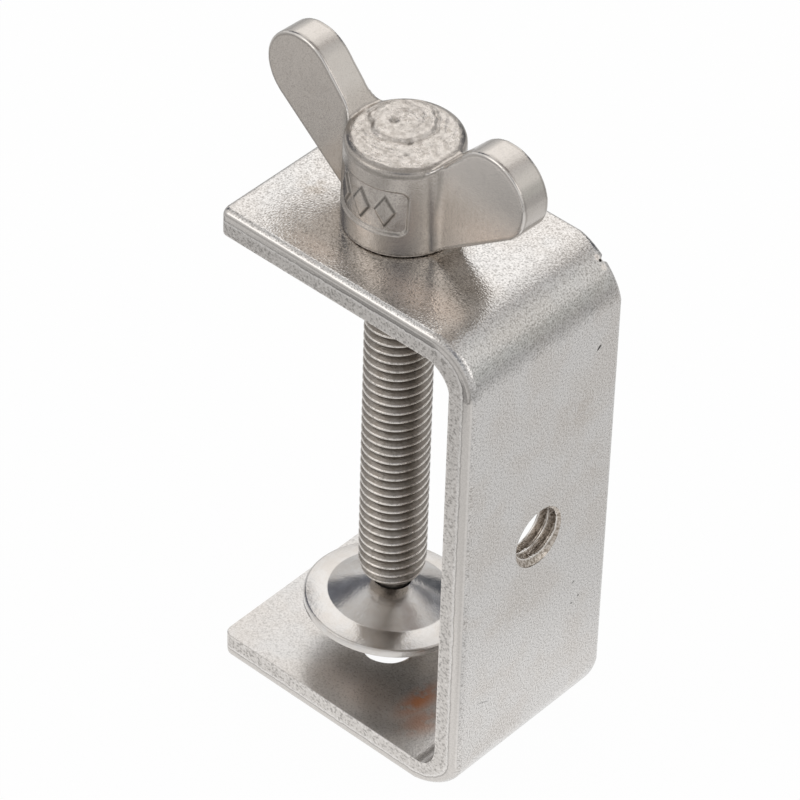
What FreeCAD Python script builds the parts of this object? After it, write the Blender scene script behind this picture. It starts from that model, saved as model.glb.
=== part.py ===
"""Small stainless screw clamp: a bar bent into a C, a winged screw and a loose swivel pad.

Millimetres, +Z up. The origin lies on the screw's axis, at the underside of the bottom flange.
The bar's back (the web) faces +X, its jaw opens to -X, and the wings lie nearly in the XZ plane.
"""
import FreeCAD, Part
import math
import os

from FreeCAD import Vector

# Flat bar and its two bends
BAR_WIDTH = 25.0
BAR_THICKNESS = 3.5
BRACKET_HEIGHT = 67.5
WEB_BACK = 21.6
TOP_REACH = 15.8
BOTTOM_REACH = 15.1
BEND_INNER_RADIUS = 3.0
BEND_THINNING = 0.5
SHEAR_ROLLOVER = 0.8
FREE_CORNER_RADIUS = 1.1

# M8 x 1.25 thread: the screw is drawn at its outer diameter, an empty tapped hole at its tapping drill
THREAD_DIAMETER = 8.0
THREAD_PITCH = 1.25
TAPPING_DRILL = THREAD_DIAMETER - THREAD_PITCH
THREAD_CLEARANCE = 0.05
TAP_MOUTH_DIAMETER = 8.1
WEB_HOLE_HEIGHT = 34.0

# Screw below its head
HEAD_SEAT_GAP = 0.05
ROD_END_HEIGHT = 15.45
ROD_END_CHAMFER = 0.45
ROD_END_CHAMFER_LENGTH = 1.5
NECK_DIAMETER = 4.2
RIVET_DIAMETER = 6.8
RIVET_THICKNESS = 0.9
RIVET_EDGE_CHAMFER = 0.35

# Cast head
HUB_BASE_DIAMETER = 13.9
HUB_TOP_DIAMETER = 13.5
HUB_HEIGHT = 11.75
HUB_TOP_FILLET = 0.8
HUB_BASE_CHAMFER = 0.3
GATE_DIAMETER = 7.2
GATE_HEIGHT = 0.25
GATE_OFFSET = 2.3
GATE_BEARING = 140.0
WING_BEARING = -3.0
WING_THICKNESS = 3.8
WING_EAR_RADIUS = 5.2
WING_EAR_REACH = 14.4
WING_EAR_HEIGHT = 12.6
WING_FOOT_HEIGHT = 0.35
WING_SHOULDER_HEIGHT = 12.0
WING_EDGE_CHAMFER = 0.45
WING_ROOT_FILLET = 2.0
PANEL_WIDTH = 10.3
PANEL_HEIGHT = 5.8
PANEL_BASE_HEIGHT = 3.1
PANEL_CORNER_RADIUS = 0.9
PANEL_DEPTH = 0.35

# Stamped pad, sizes up from the plane of its rim
PAD_DIAMETER = 20.2
PAD_THICKNESS = 1.0
PAD_BAND_RISE = 0.7
PAD_CREASE_DIAMETER = 14.8
PAD_DOME_RISE = 2.15
PAD_HOLE_DIAMETER = 4.7
PAD_EDGE_CHAMFER = 0.25
PAD_RIM_HEIGHT = 9.85
PAD_TILT = 5.7
PAD_TILT_BEARING = 85.0
PAD_SEAT_GAP = 0.08

Z_AXIS = Vector(0, 0, 1)
ORIGIN = Vector(0, 0, 0)


def polar(radius, bearing, height=0.0):
    """Point at a bearing in degrees from +X, at a height."""
    angle = math.radians(bearing)
    return Vector(radius * math.cos(angle), radius * math.sin(angle), height)


def line(start, end):
    """Straight edge."""
    return Part.LineSegment(start, end).toShape()


def arc(start, middle, end):
    """Arc edge through three points."""
    return Part.Arc(start, middle, end).toShape()


def corner_arc(centre, radius, first, last):
    """Arc edge in the XZ plane about a centre, from one angle in degrees to another."""
    points = []
    for angle in (first, (first + last) / 2, last):
        turn = math.radians(angle)
        points.append(centre + Vector(radius * math.cos(turn), 0, radius * math.sin(turn)))
    return arc(*points)


def revolved(corners):
    """Solid turned about Z from the corners of a closed half section in the XZ plane."""
    return Part.Face(Part.makePolygon(corners + corners[:1])).revolve(ORIGIN, Z_AXIS, 360)


def upright_cylinder(diameter, low, high, x=0.0, y=0.0):
    """Cylinder along Z between two heights."""
    return Part.makeCylinder(diameter / 2, high - low, Vector(x, y, low), Z_AXIS)


# Bracket


def bracket_section():
    """Side outline of the bent bar as a face in the XZ plane at y = -BAR_WIDTH / 2."""
    outer = BEND_INNER_RADIUS + BAR_THICKNESS + BEND_THINNING
    inner = BEND_INNER_RADIUS
    y = -BAR_WIDTH / 2
    web_inside = WEB_BACK - BAR_THICKNESS
    top_inside = BRACKET_HEIGHT - BAR_THICKNESS
    outer_x = WEB_BACK - outer
    inner_x = web_inside - inner
    outer_low = Vector(outer_x, y, outer)
    outer_high = Vector(outer_x, y, BRACKET_HEIGHT - outer)
    inner_low = Vector(inner_x, y, BAR_THICKNESS + inner)
    inner_high = Vector(inner_x, y, top_inside - inner)
    edges = [
        line(Vector(-BOTTOM_REACH, y, 0), Vector(outer_x, y, 0)),
        corner_arc(outer_low, outer, -90, 0),
        line(Vector(WEB_BACK, y, outer_low.z), Vector(WEB_BACK, y, outer_high.z)),
        corner_arc(outer_high, outer, 0, 90),
        line(Vector(outer_x, y, BRACKET_HEIGHT), Vector(-TOP_REACH, y, BRACKET_HEIGHT)),
        line(Vector(-TOP_REACH, y, BRACKET_HEIGHT), Vector(-TOP_REACH, y, top_inside)),
        line(Vector(-TOP_REACH, y, top_inside), Vector(inner_x, y, top_inside)),
        corner_arc(inner_high, inner, 90, 0),
        line(Vector(web_inside, y, inner_high.z), Vector(web_inside, y, inner_low.z)),
        corner_arc(inner_low, inner, 0, -90),
        line(Vector(inner_x, y, BAR_THICKNESS), Vector(-BOTTOM_REACH, y, BAR_THICKNESS)),
        line(Vector(-BOTTOM_REACH, y, BAR_THICKNESS), Vector(-BOTTOM_REACH, y, 0)),
    ]
    return Part.Face(Part.Wire(edges))


def on_outer_skin(point):
    """True where a point of a bar's edge lies on the outer side of the bend."""
    near = 0.01
    if abs(point.z) < near or abs(point.z - BRACKET_HEIGHT) < near or abs(point.x - WEB_BACK) < near:
        return True
    outer = BEND_INNER_RADIUS + BAR_THICKNESS + BEND_THINNING
    for centre_z in (outer, BRACKET_HEIGHT - outer):
        reach = math.hypot(point.x - (WEB_BACK - outer), point.z - centre_z)
        if point.x > WEB_BACK - outer and abs(reach - outer) < near:
            return True
    return False


def edge_middle(edge):
    """Point halfway along an edge."""
    first, last = edge.ParameterRange
    return edge.valueAt((first + last) / 2)


def free_corner_edges(bar):
    """Upright edges at the four free corners of the flanges."""
    chosen = []
    for edge in bar.Edges:
        middle = edge_middle(edge)
        upright = abs(edge.tangentAt(edge.FirstParameter).z) > 0.999
        if upright and middle.x < -min(TOP_REACH, BOTTOM_REACH) + 0.01:
            chosen.append(edge)
    return chosen


def outer_skin_edges(bar):
    """Edges where the outer skin meets the sheared sides, the round corners and the two cut ends."""
    chosen = []
    for edge in bar.Edges:
        middle = edge_middle(edge)
        on_side = abs(middle.y) > BAR_WIDTH / 2 - FREE_CORNER_RADIUS
        on_end = middle.x < -min(TOP_REACH, BOTTOM_REACH) + 0.01
        if on_outer_skin(middle) and (on_side or on_end):
            chosen.append(edge)
    return chosen


def tapped_hole(point, outward, mouth_outward=True):
    """Tool for a tapped hole through the bar, from the skin's point inwards, flared on one side."""
    inward = outward * -1
    overrun = 1.0
    start = point + outward * overrun
    tool = Part.makeCylinder(TAPPING_DRILL / 2, BAR_THICKNESS + 2 * overrun, start, inward)
    flare = (TAP_MOUTH_DIAMETER - TAPPING_DRILL) / 2
    mouth_point = point if mouth_outward else point + inward * BAR_THICKNESS
    mouth_axis = inward if mouth_outward else outward
    beyond = mouth_point - mouth_axis * overrun
    cone = Part.makeCone(TAP_MOUTH_DIAMETER / 2 + overrun, TAPPING_DRILL / 2, overrun + flare, beyond, mouth_axis)
    return tool.fuse(cone)


def bracket():
    """The bar, bent twice, with round free corners, rolled-over outer edges and three holes on two axes."""
    bar = bracket_section().extrude(Vector(0, BAR_WIDTH, 0))
    bar = bar.makeFillet(FREE_CORNER_RADIUS, free_corner_edges(bar))
    bar = bar.makeFillet(SHEAR_ROLLOVER, outer_skin_edges(bar))
    screw_hole = upright_cylinder(
        THREAD_DIAMETER + 2 * THREAD_CLEARANCE, BRACKET_HEIGHT - 2 * BAR_THICKNESS, BRACKET_HEIGHT + BAR_THICKNESS
    )
    base_hole = tapped_hole(Vector(0, 0, 0), Vector(0, 0, -1), mouth_outward=False)
    web_hole = tapped_hole(Vector(WEB_BACK, 0, WEB_HOLE_HEIGHT), Vector(1, 0, 0))
    return bar.cut([screw_hole, base_hole, web_hole]).removeSplitter()


# Pad, drawn level about Z with its rim on z = 0


def pad_section():
    """Corners of the pad's half section: rim band, crease, dished middle and hole."""
    rim = PAD_DIAMETER / 2
    crease = PAD_CREASE_DIAMETER / 2
    hole = PAD_HOLE_DIAMETER / 2
    crease_z = PAD_BAND_RISE
    dome_z = crease_z + PAD_DOME_RISE
    band_slope = PAD_BAND_RISE / (rim - crease)
    edge_z = PAD_THICKNESS + band_slope * PAD_EDGE_CHAMFER
    return [
        Vector(rim, 0, 0),
        Vector(rim, 0, PAD_THICKNESS - PAD_EDGE_CHAMFER),
        Vector(rim - PAD_EDGE_CHAMFER, 0, edge_z),
        Vector(crease, 0, crease_z + PAD_THICKNESS),
        Vector(hole, 0, dome_z + PAD_THICKNESS),
        Vector(hole, 0, dome_z),
        Vector(crease, 0, crease_z),
    ]


def pad_pivot():
    """Point of the screw's axis that the pad leans about: the middle of its hole."""
    return Vector(0, 0, PAD_RIM_HEIGHT + PAD_BAND_RISE + PAD_DOME_RISE + PAD_THICKNESS / 2)


def pressure_pad():
    """The stamped pad, hung on the neck and leaning to one side as far as its play allows."""
    pad = revolved(pad_section())
    pad.translate(Vector(0, 0, PAD_RIM_HEIGHT))
    pad.rotate(pad_pivot(), polar(1.0, PAD_TILT_BEARING - 90), -PAD_TILT)
    return pad


# Winged screw


def head_seat():
    """Height of the hub's flat underside."""
    return BRACKET_HEIGHT + HEAD_SEAT_GAP


def rivet_top():
    """Height of the riveted end's shoulder, just clear of the leaning pad's underside."""
    rivet = RIVET_DIAMETER / 2
    hole = PAD_HOLE_DIAMETER / 2
    underside = PAD_RIM_HEIGHT + PAD_BAND_RISE + PAD_DOME_RISE
    dish = PAD_DOME_RISE * (rivet - hole) / (PAD_CREASE_DIAMETER / 2 - hole)
    lean = rivet * math.tan(math.radians(PAD_TILT))
    return underside - dish - lean - PAD_SEAT_GAP


def threaded_rod():
    """Rod, its chamfered end, the thin neck and the end riveted over under the pad."""
    rod = THREAD_DIAMETER / 2
    end = rod - ROD_END_CHAMFER
    neck = NECK_DIAMETER / 2
    rivet = RIVET_DIAMETER / 2
    shoulder = rivet_top()
    tip = shoulder - RIVET_THICKNESS
    top = head_seat() + HUB_HEIGHT / 2
    return revolved([
        Vector(0, 0, top),
        Vector(rod, 0, top),
        Vector(rod, 0, ROD_END_HEIGHT + ROD_END_CHAMFER_LENGTH),
        Vector(end, 0, ROD_END_HEIGHT),
        Vector(neck, 0, ROD_END_HEIGHT),
        Vector(neck, 0, shoulder),
        Vector(rivet, 0, shoulder),
        Vector(rivet, 0, tip + RIVET_EDGE_CHAMFER),
        Vector(rivet - RIVET_EDGE_CHAMFER, 0, tip),
        Vector(0, 0, tip),
    ])


def rings(shape, radius, height):
    """Circular edges about Z of a radius, at a height."""
    found = []
    for edge in shape.Edges:
        if not isinstance(edge.Curve, Part.Circle):
            continue
        centre = edge.Curve.Center
        on_axis = math.hypot(centre.x, centre.y) < 0.01
        if on_axis and abs(edge.Curve.Radius - radius) < 0.01 and abs(centre.z - height) < 0.01:
            found.append(edge)
    return found


def hub():
    """Tapered hub with a rounded top rim and a broken bottom edge."""
    seat = head_seat()
    base = HUB_BASE_DIAMETER / 2
    crown = HUB_TOP_DIAMETER / 2
    top = seat + HUB_HEIGHT
    body = revolved([
        Vector(0, 0, seat),
        Vector(base - HUB_BASE_CHAMFER, 0, seat),
        Vector(base, 0, seat + HUB_BASE_CHAMFER),
        Vector(crown, 0, top),
        Vector(0, 0, top),
    ])
    return body.makeFillet(HUB_TOP_FILLET, rings(body, crown, top))


def gate_stub():
    """Low round stub on the hub's top, off centre."""
    top = head_seat() + HUB_HEIGHT
    place = polar(GATE_OFFSET, GATE_BEARING)
    sunk = HUB_TOP_FILLET
    return upright_cylinder(GATE_DIAMETER, top - sunk, top + GATE_HEIGHT, place.x, place.y)


def tangent_point(outside, centre, radius, side):
    """Where the line from an outside point touches a circle in the XZ plane; side is +1 or -1."""
    across = centre - outside
    distance = math.hypot(across.x, across.z)
    bearing = math.atan2(across.z, across.x)
    spread = math.asin(radius / distance)
    length = math.sqrt(distance ** 2 - radius ** 2)
    angle = bearing + side * spread
    return outside + Vector(length * math.cos(angle), 0, length * math.sin(angle))


def carried_on(start, end, x):
    """Point at x on the straight line from start through end, in the XZ plane."""
    slope = (end.z - start.z) / (end.x - start.x)
    return Vector(x, 0, end.z + slope * (x - end.x))


def wing_side():
    """Side view of one wing along +X: a round ear whose straight flanks run on into the hub."""
    seat = head_seat()
    root = HUB_TOP_DIAMETER / 2
    foot = Vector(root, 0, seat + WING_FOOT_HEIGHT)
    shoulder = Vector(root, 0, seat + WING_SHOULDER_HEIGHT)
    ear = Vector(WING_EAR_REACH, 0, seat + WING_EAR_HEIGHT)
    low = tangent_point(foot, ear, WING_EAR_RADIUS, -1)
    high = tangent_point(shoulder, ear, WING_EAR_RADIUS, 1)
    first = math.atan2(low.z - ear.z, low.x - ear.x)
    last = math.atan2(high.z - ear.z, high.x - ear.x)
    middle_angle = (first + last) / 2
    outermost = ear + Vector(math.cos(middle_angle), 0, math.sin(middle_angle)) * WING_EAR_RADIUS
    buried_low = carried_on(low, foot, root / 3)
    buried_high = carried_on(high, shoulder, root / 3)
    edges = [
        line(buried_low, low),
        arc(low, outermost, high),
        line(high, buried_high),
        line(buried_high, buried_low),
    ]
    return Part.Face(Part.Wire(edges))


def wing_plan():
    """Top view of one wing along +X: straight sides that flare into the hub on round fillets."""
    half = WING_THICKNESS / 2
    root = HUB_TOP_DIAMETER / 2
    reach = WING_EAR_REACH + WING_EAR_RADIUS + 1.0
    flare_y = half + WING_ROOT_FILLET
    flare_x = math.sqrt((root + WING_ROOT_FILLET) ** 2 - flare_y ** 2)
    centre = Vector(flare_x, flare_y, 0)
    on_hub = centre * (root / (root + WING_ROOT_FILLET))
    on_wing = Vector(flare_x, half, 0)
    bisector = ((on_hub - centre).normalize() + (on_wing - centre).normalize()).normalize()
    bottom = centre + bisector * WING_ROOT_FILLET
    inside = root / 3
    edges = []
    for side in (1, -1):
        points = [Vector(p.x, p.y * side, 0) for p in (on_hub, bottom, on_wing)]
        edges.append(arc(*points))
        edges.append(line(points[2], Vector(reach, half * side, 0)))
        edges.append(line(points[0], Vector(inside, points[0].y, 0)))
    edges.append(line(Vector(reach, half, 0), Vector(reach, -half, 0)))
    edges.append(line(Vector(inside, on_hub.y, 0), Vector(inside, -on_hub.y, 0)))
    return Part.Face(Part.Wire(Part.__sortEdges__(edges)))


def wing():
    """One wing along +X with bevelled edges, its root buried in the hub."""
    seat = head_seat()
    deep = HUB_BASE_DIAMETER
    side = wing_side()
    side.translate(Vector(0, -deep / 2, 0))
    plan = wing_plan()
    plan.translate(Vector(0, 0, seat - deep))
    blade = side.extrude(Vector(0, deep, 0)).common(plan.extrude(Vector(0, 0, 3 * deep)))
    rim = []
    for edge in blade.Edges:
        middle = edge_middle(edge)
        upright = abs(edge.tangentAt(edge.FirstParameter).z) > 0.999
        if abs(middle.y) > 0.45 * WING_THICKNESS and middle.x > HUB_TOP_DIAMETER / 2 - 0.5 and not upright:
            rim.append(edge)
    blade = blade.makeChamfer(WING_EDGE_CHAMFER, rim)
    below = Part.makeBox(2 * deep, deep, deep, Vector(0, -deep / 2, seat + WING_FOOT_HEIGHT - deep))
    return blade.cut(below)


def panel_tool():
    """Tool for the shallow panel on the hub's -Y side, with round corners and a floor that follows the hub."""
    base = head_seat() + PANEL_BASE_HEIGHT
    reach = HUB_BASE_DIAMETER
    block = Part.makeBox(PANEL_WIDTH, reach, PANEL_HEIGHT, Vector(-PANEL_WIDTH / 2, -reach, base))
    corners = []
    for edge in block.Edges:
        middle = edge_middle(edge)
        on_wall = abs(abs(middle.x) - PANEL_WIDTH / 2) < 0.01
        is_long = edge.Length > reach - 0.01
        if on_wall and is_long:
            corners.append(edge)
    block = block.makeFillet(PANEL_CORNER_RADIUS, corners)
    taper = (HUB_BASE_DIAMETER - HUB_TOP_DIAMETER) / 2
    floor_low = HUB_BASE_DIAMETER / 2 - PANEL_DEPTH
    core = Part.makeCone(floor_low, floor_low - taper, HUB_HEIGHT, Vector(0, 0, head_seat()), Z_AXIS)
    return block.cut(core)


def wing_screw():
    """Cast head and rolled rod, one piece."""
    head = hub()
    for half_turn in (0, 180):
        blade = wing()
        blade.rotate(ORIGIN, Z_AXIS, half_turn)
        head = head.fuse(blade)
    panel = panel_tool()
    head = head.removeSplitter().cut(panel)
    head.rotate(ORIGIN, Z_AXIS, WING_BEARING)
    return head.fuse([threaded_rod(), gate_stub()]).removeSplitter()


def main():
    """Write each piece to its own file."""
    os.makedirs("parts", exist_ok=True)
    pieces = {"bracket": bracket(), "wing_screw": wing_screw(), "pressure_pad": pressure_pad()}
    for name, shape in pieces.items():
        print(name, "solids", len(shape.Solids), "valid", shape.isValid(), "mm3", round(shape.Volume, 1))
        shape.exportStep("parts/" + name + ".step")


main()
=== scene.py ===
"""Looks of a small stainless screw clamp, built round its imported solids.

The frame is the solids' own: +Z up, the origin on the screw's axis at the underside of the lower
flange, the bracket's back towards +X and the jaw open to -X. Meshes are shaped in millimetres and
brought to metres at the end.
"""
import logging
import math
from dataclasses import dataclass, field
from enum import IntEnum

import bmesh
import bpy
from bmesh.types import BMEdge, BMesh, BMFace, BMLayerItem, BMVert
from bpy.types import Material, Node, NodeSocket, Object
from mathutils import Matrix, Vector, noise


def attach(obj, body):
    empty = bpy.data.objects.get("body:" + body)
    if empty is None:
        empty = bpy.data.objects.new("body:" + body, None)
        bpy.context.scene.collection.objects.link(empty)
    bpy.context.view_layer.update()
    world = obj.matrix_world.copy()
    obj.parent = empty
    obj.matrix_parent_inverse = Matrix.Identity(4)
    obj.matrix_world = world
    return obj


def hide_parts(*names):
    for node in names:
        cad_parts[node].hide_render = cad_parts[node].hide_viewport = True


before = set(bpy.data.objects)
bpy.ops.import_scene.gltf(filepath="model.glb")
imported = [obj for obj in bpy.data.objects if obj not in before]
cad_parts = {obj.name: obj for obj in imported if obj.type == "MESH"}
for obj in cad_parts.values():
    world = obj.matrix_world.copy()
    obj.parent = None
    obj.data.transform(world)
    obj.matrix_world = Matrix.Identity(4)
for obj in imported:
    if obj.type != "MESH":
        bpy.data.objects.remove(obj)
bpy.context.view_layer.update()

LOG = logging.getLogger("clamp")
MM = 0.001
SMOOTH_LIMIT = math.radians(32)
FULL_TURN = 2 * math.pi
MERGE_DISTANCE = 1e-4

Colour = tuple[float, float, float, float]


def grey(level: float, warmth: float = 0.0) -> Colour:
    """Colour of bare steel at a level, warmer with warmth."""
    return (level * (1 + warmth), level, level * (1 - warmth), 1.0)


# Nodes of the materials and of the world


@dataclass(frozen=True)
class Mark:
    """An ellipsoid within which a surface differs, in millimetres and degrees."""

    middle: tuple[float, float, float]
    half_size: tuple[float, float, float]
    turn: tuple[float, float, float] = (0.0, 0.0, 0.0)
    fade: float = 0.5
    strength: float = 1.0


class Nodes:
    """Adds and links the nodes of one tree."""

    def __init__(self, owner: bpy.types.ID) -> None:
        """Start an empty tree.

        Args:
            owner: the material or world that the tree belongs to.
        """
        owner.use_nodes = True
        self.tree = owner.node_tree
        self.tree.nodes.clear()

    def add(self, kind: str, **settings: object) -> Node:
        """Add a node.

        Args:
            kind: the node's Blender type.
            settings: properties to set on it.

        Returns:
            The new node.
        """
        node = self.tree.nodes.new(kind)
        for key, value in settings.items():
            setattr(node, key, value)
        return node

    def join(self, source: object, target: NodeSocket) -> None:
        """Link a socket to a target, or set the target to a plain value.

        Args:
            source: socket or plain value.
            target: the input to fill.
        """
        if isinstance(source, NodeSocket):
            self.tree.links.new(source, target)
        else:
            target.default_value = source

    def joined(self, kind: str, sources: dict[object, object], **settings: object) -> Node:
        """Add a node and join its inputs.

        Args:
            kind: the node's Blender type.
            sources: socket or plain value for each input, by the input's name or number.
            settings: properties to set on it.

        Returns:
            The new node.
        """
        node = self.add(kind, **settings)
        for key, source in sources.items():
            self.join(source, node.inputs[key])
        return node

    def math(self, operation: str, first: object, second: object) -> NodeSocket:
        """Combine two numbers, each a socket or a plain number."""
        return self.joined("ShaderNodeMath", {0: first, 1: second}, operation=operation).outputs[0]

    def times(self, first: object, second: object) -> NodeSocket:
        """Product of two numbers."""
        return self.math("MULTIPLY", first, second)

    def one_minus(self, value: NodeSocket) -> NodeSocket:
        """1 minus a number."""
        return self.math("SUBTRACT", 1.0, value)

    def measure(self, operation: str, first: object, second: object = (0.0, 0.0, 0.0)) -> NodeSocket:
        """Number that a vector operation gives, such as a length."""
        node = self.joined("ShaderNodeVectorMath", {0: first, 1: second}, operation=operation)
        return node.outputs["Value"]

    def span(self, value: NodeSocket, low: float, high: float, start: float = 0.0, end: float = 1.0,
             step: str = "SMOOTHSTEP") -> NodeSocket:
        """Map a value from low..high to start..end, held at the ends.

        Args:
            value: socket to map.
            low: value that becomes start.
            high: value that becomes end.
            start: result at low.
            end: result at high.
            step: Blender's name of the way between them.

        Returns:
            The mapped value.
        """
        sources = {"Value": value, "From Min": low, "From Max": high, "To Min": start, "To Max": end}
        return self.joined("ShaderNodeMapRange", sources, interpolation_type=step).outputs["Result"]

    def fade(self, value: NodeSocket, near: float, far: float, least: float = 0.0) -> NodeSocket:
        """Fall from 1 at near to the least at far."""
        return self.span(value, near, far, 1.0, least)

    def band(self, value: NodeSocket, rise: float, full: float, fall: float, gone: float) -> NodeSocket:
        """One where a value lies between full and fall, and 0 before rise and after gone."""
        return self.times(self.span(value, rise, full), self.fade(value, fall, gone))

    def blend(self, factor: object, first: object, second: object) -> NodeSocket:
        """Mix two colours, each a socket or plain: the first at factor 0 and the second at 1."""
        sources = {"Factor": factor, "A": first, "B": second}
        return self.joined("ShaderNodeMix", sources, data_type="RGBA").outputs["Result"]

    def mixed(self, share: NodeSocket, first: Node, second: Node) -> Node:
        """Mix two shaders: the first at share 0 and the second at 1."""
        sources = {"Fac": share, 1: first.outputs[0], 2: second.outputs[0]}
        return self.joined("ShaderNodeMixShader", sources)

    def end_with(self, shader: Node, output: str = "ShaderNodeOutputMaterial") -> None:
        """Send a shader to the tree's output."""
        self.joined(output, {"Surface": shader.outputs[0]})


class Graph(Nodes):
    """Nodes of one metal, with lengths in millimetres."""

    mottle_range = (0.35, 0.65)

    def __init__(self, name: str) -> None:
        """Start an empty material.

        Args:
            name: the material's name.
        """
        self.material = bpy.data.materials.new(name)
        super().__init__(self.material)
        self.shader = self.add("ShaderNodeBsdfPrincipled")
        self.end_with(self.shader)
        place = self.add("ShaderNodeTexCoord").outputs["Object"]
        scaled = self.joined("ShaderNodeVectorMath", {0: place, "Scale": 1 / MM}, operation="SCALE")
        self.place = scaled.outputs["Vector"]

    def stretched(self, factors: tuple[float, float, float]) -> NodeSocket:
        """Place multiplied along each axis, for streaks."""
        node = self.joined("ShaderNodeVectorMath", {0: self.place, 1: factors}, operation="MULTIPLY")
        return node.outputs["Vector"]

    def cloud(self, size: float, detail: float = 3.0, rough: float = 0.55,
              place: NodeSocket | None = None) -> NodeSocket:
        """Cloudy noise between 0 and 1.

        Args:
            size: width of its blotches in millimetres.
            detail: number of finer layers.
            rough: strength of the finer layers.
            place: coordinates in millimetres, or None for the piece's own.

        Returns:
            The noise's value.
        """
        sources = {"Vector": place or self.place, "Scale": 1 / size, "Detail": detail, "Roughness": rough}
        return self.joined("ShaderNodeTexNoise", sources).outputs["Fac"]

    def mottle(self, value: NodeSocket, first: Colour, second: Colour) -> NodeSocket:
        """Mix two colours by the middle range of a cloud."""
        return self.blend(self.span(value, *self.mottle_range), first, second)

    def patch(self, mark: Mark) -> NodeSocket:
        """Share of a mark at each place: its strength in the middle and 0 outside it.

        Args:
            mark: the mark.

        Returns:
            The share's socket.
        """
        turn = [math.radians(angle) for angle in mark.turn]
        sources = {"Vector": self.place, "Location": mark.middle, "Rotation": turn, "Scale": mark.half_size}
        local = self.joined("ShaderNodeMapping", sources, vector_type="TEXTURE")
        reach = self.measure("LENGTH", local.outputs["Vector"])
        return self.span(reach, 1 - mark.fade, 1.0, start=mark.strength, end=0.0)

    def patches(self, marks: tuple[Mark, ...]) -> NodeSocket:
        """Share of the strongest of several marks at each place.

        Args:
            marks: one or more marks.

        Returns:
            The share's socket.
        """
        total = self.patch(marks[0])
        for mark in marks[1:]:
            total = self.math("MAXIMUM", total, self.patch(mark))
        return total

    def attribute(self, name: str) -> NodeSocket:
        """Value of a number kept on the mesh's points."""
        return self.add("ShaderNodeAttribute", attribute_name=name).outputs["Fac"]

    def raise_by(self, heights: list[tuple[NodeSocket, float]]) -> None:
        """Bump the surface by a sum of heights, each with its depth in millimetres.

        Args:
            heights: sockets and depths, negative to sink.
        """
        total: object = 0.0
        for value, depth in heights:
            total = self.math("ADD", self.times(value, depth), total)
        bump = self.joined("ShaderNodeBump", {"Distance": MM, "Strength": 1.0, "Height": total})
        self.join(bump.outputs["Normal"], self.shader.inputs["Normal"])

    def metal(self, colour: object, roughness: object) -> None:
        """Finish the shader as bare metal."""
        for name, value in (("Metallic", 1.0), ("Base Color", colour), ("Roughness", roughness)):
            self.join(value, self.shader.inputs[name])


# Finishes


class Finish:
    """A finish of bare steel, whose greys are shares of its own level."""

    name: str
    level: float

    def shade(self, share: float, warmth: float) -> Colour:
        """Grey at a share of the finish's level."""
        return grey(self.level * share, warmth)

    def material(self) -> Material:
        """Build the finish.

        Returns:
            The finished material.
        """
        graph = Graph(self.name)
        self.paint(graph)
        return graph.material


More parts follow.
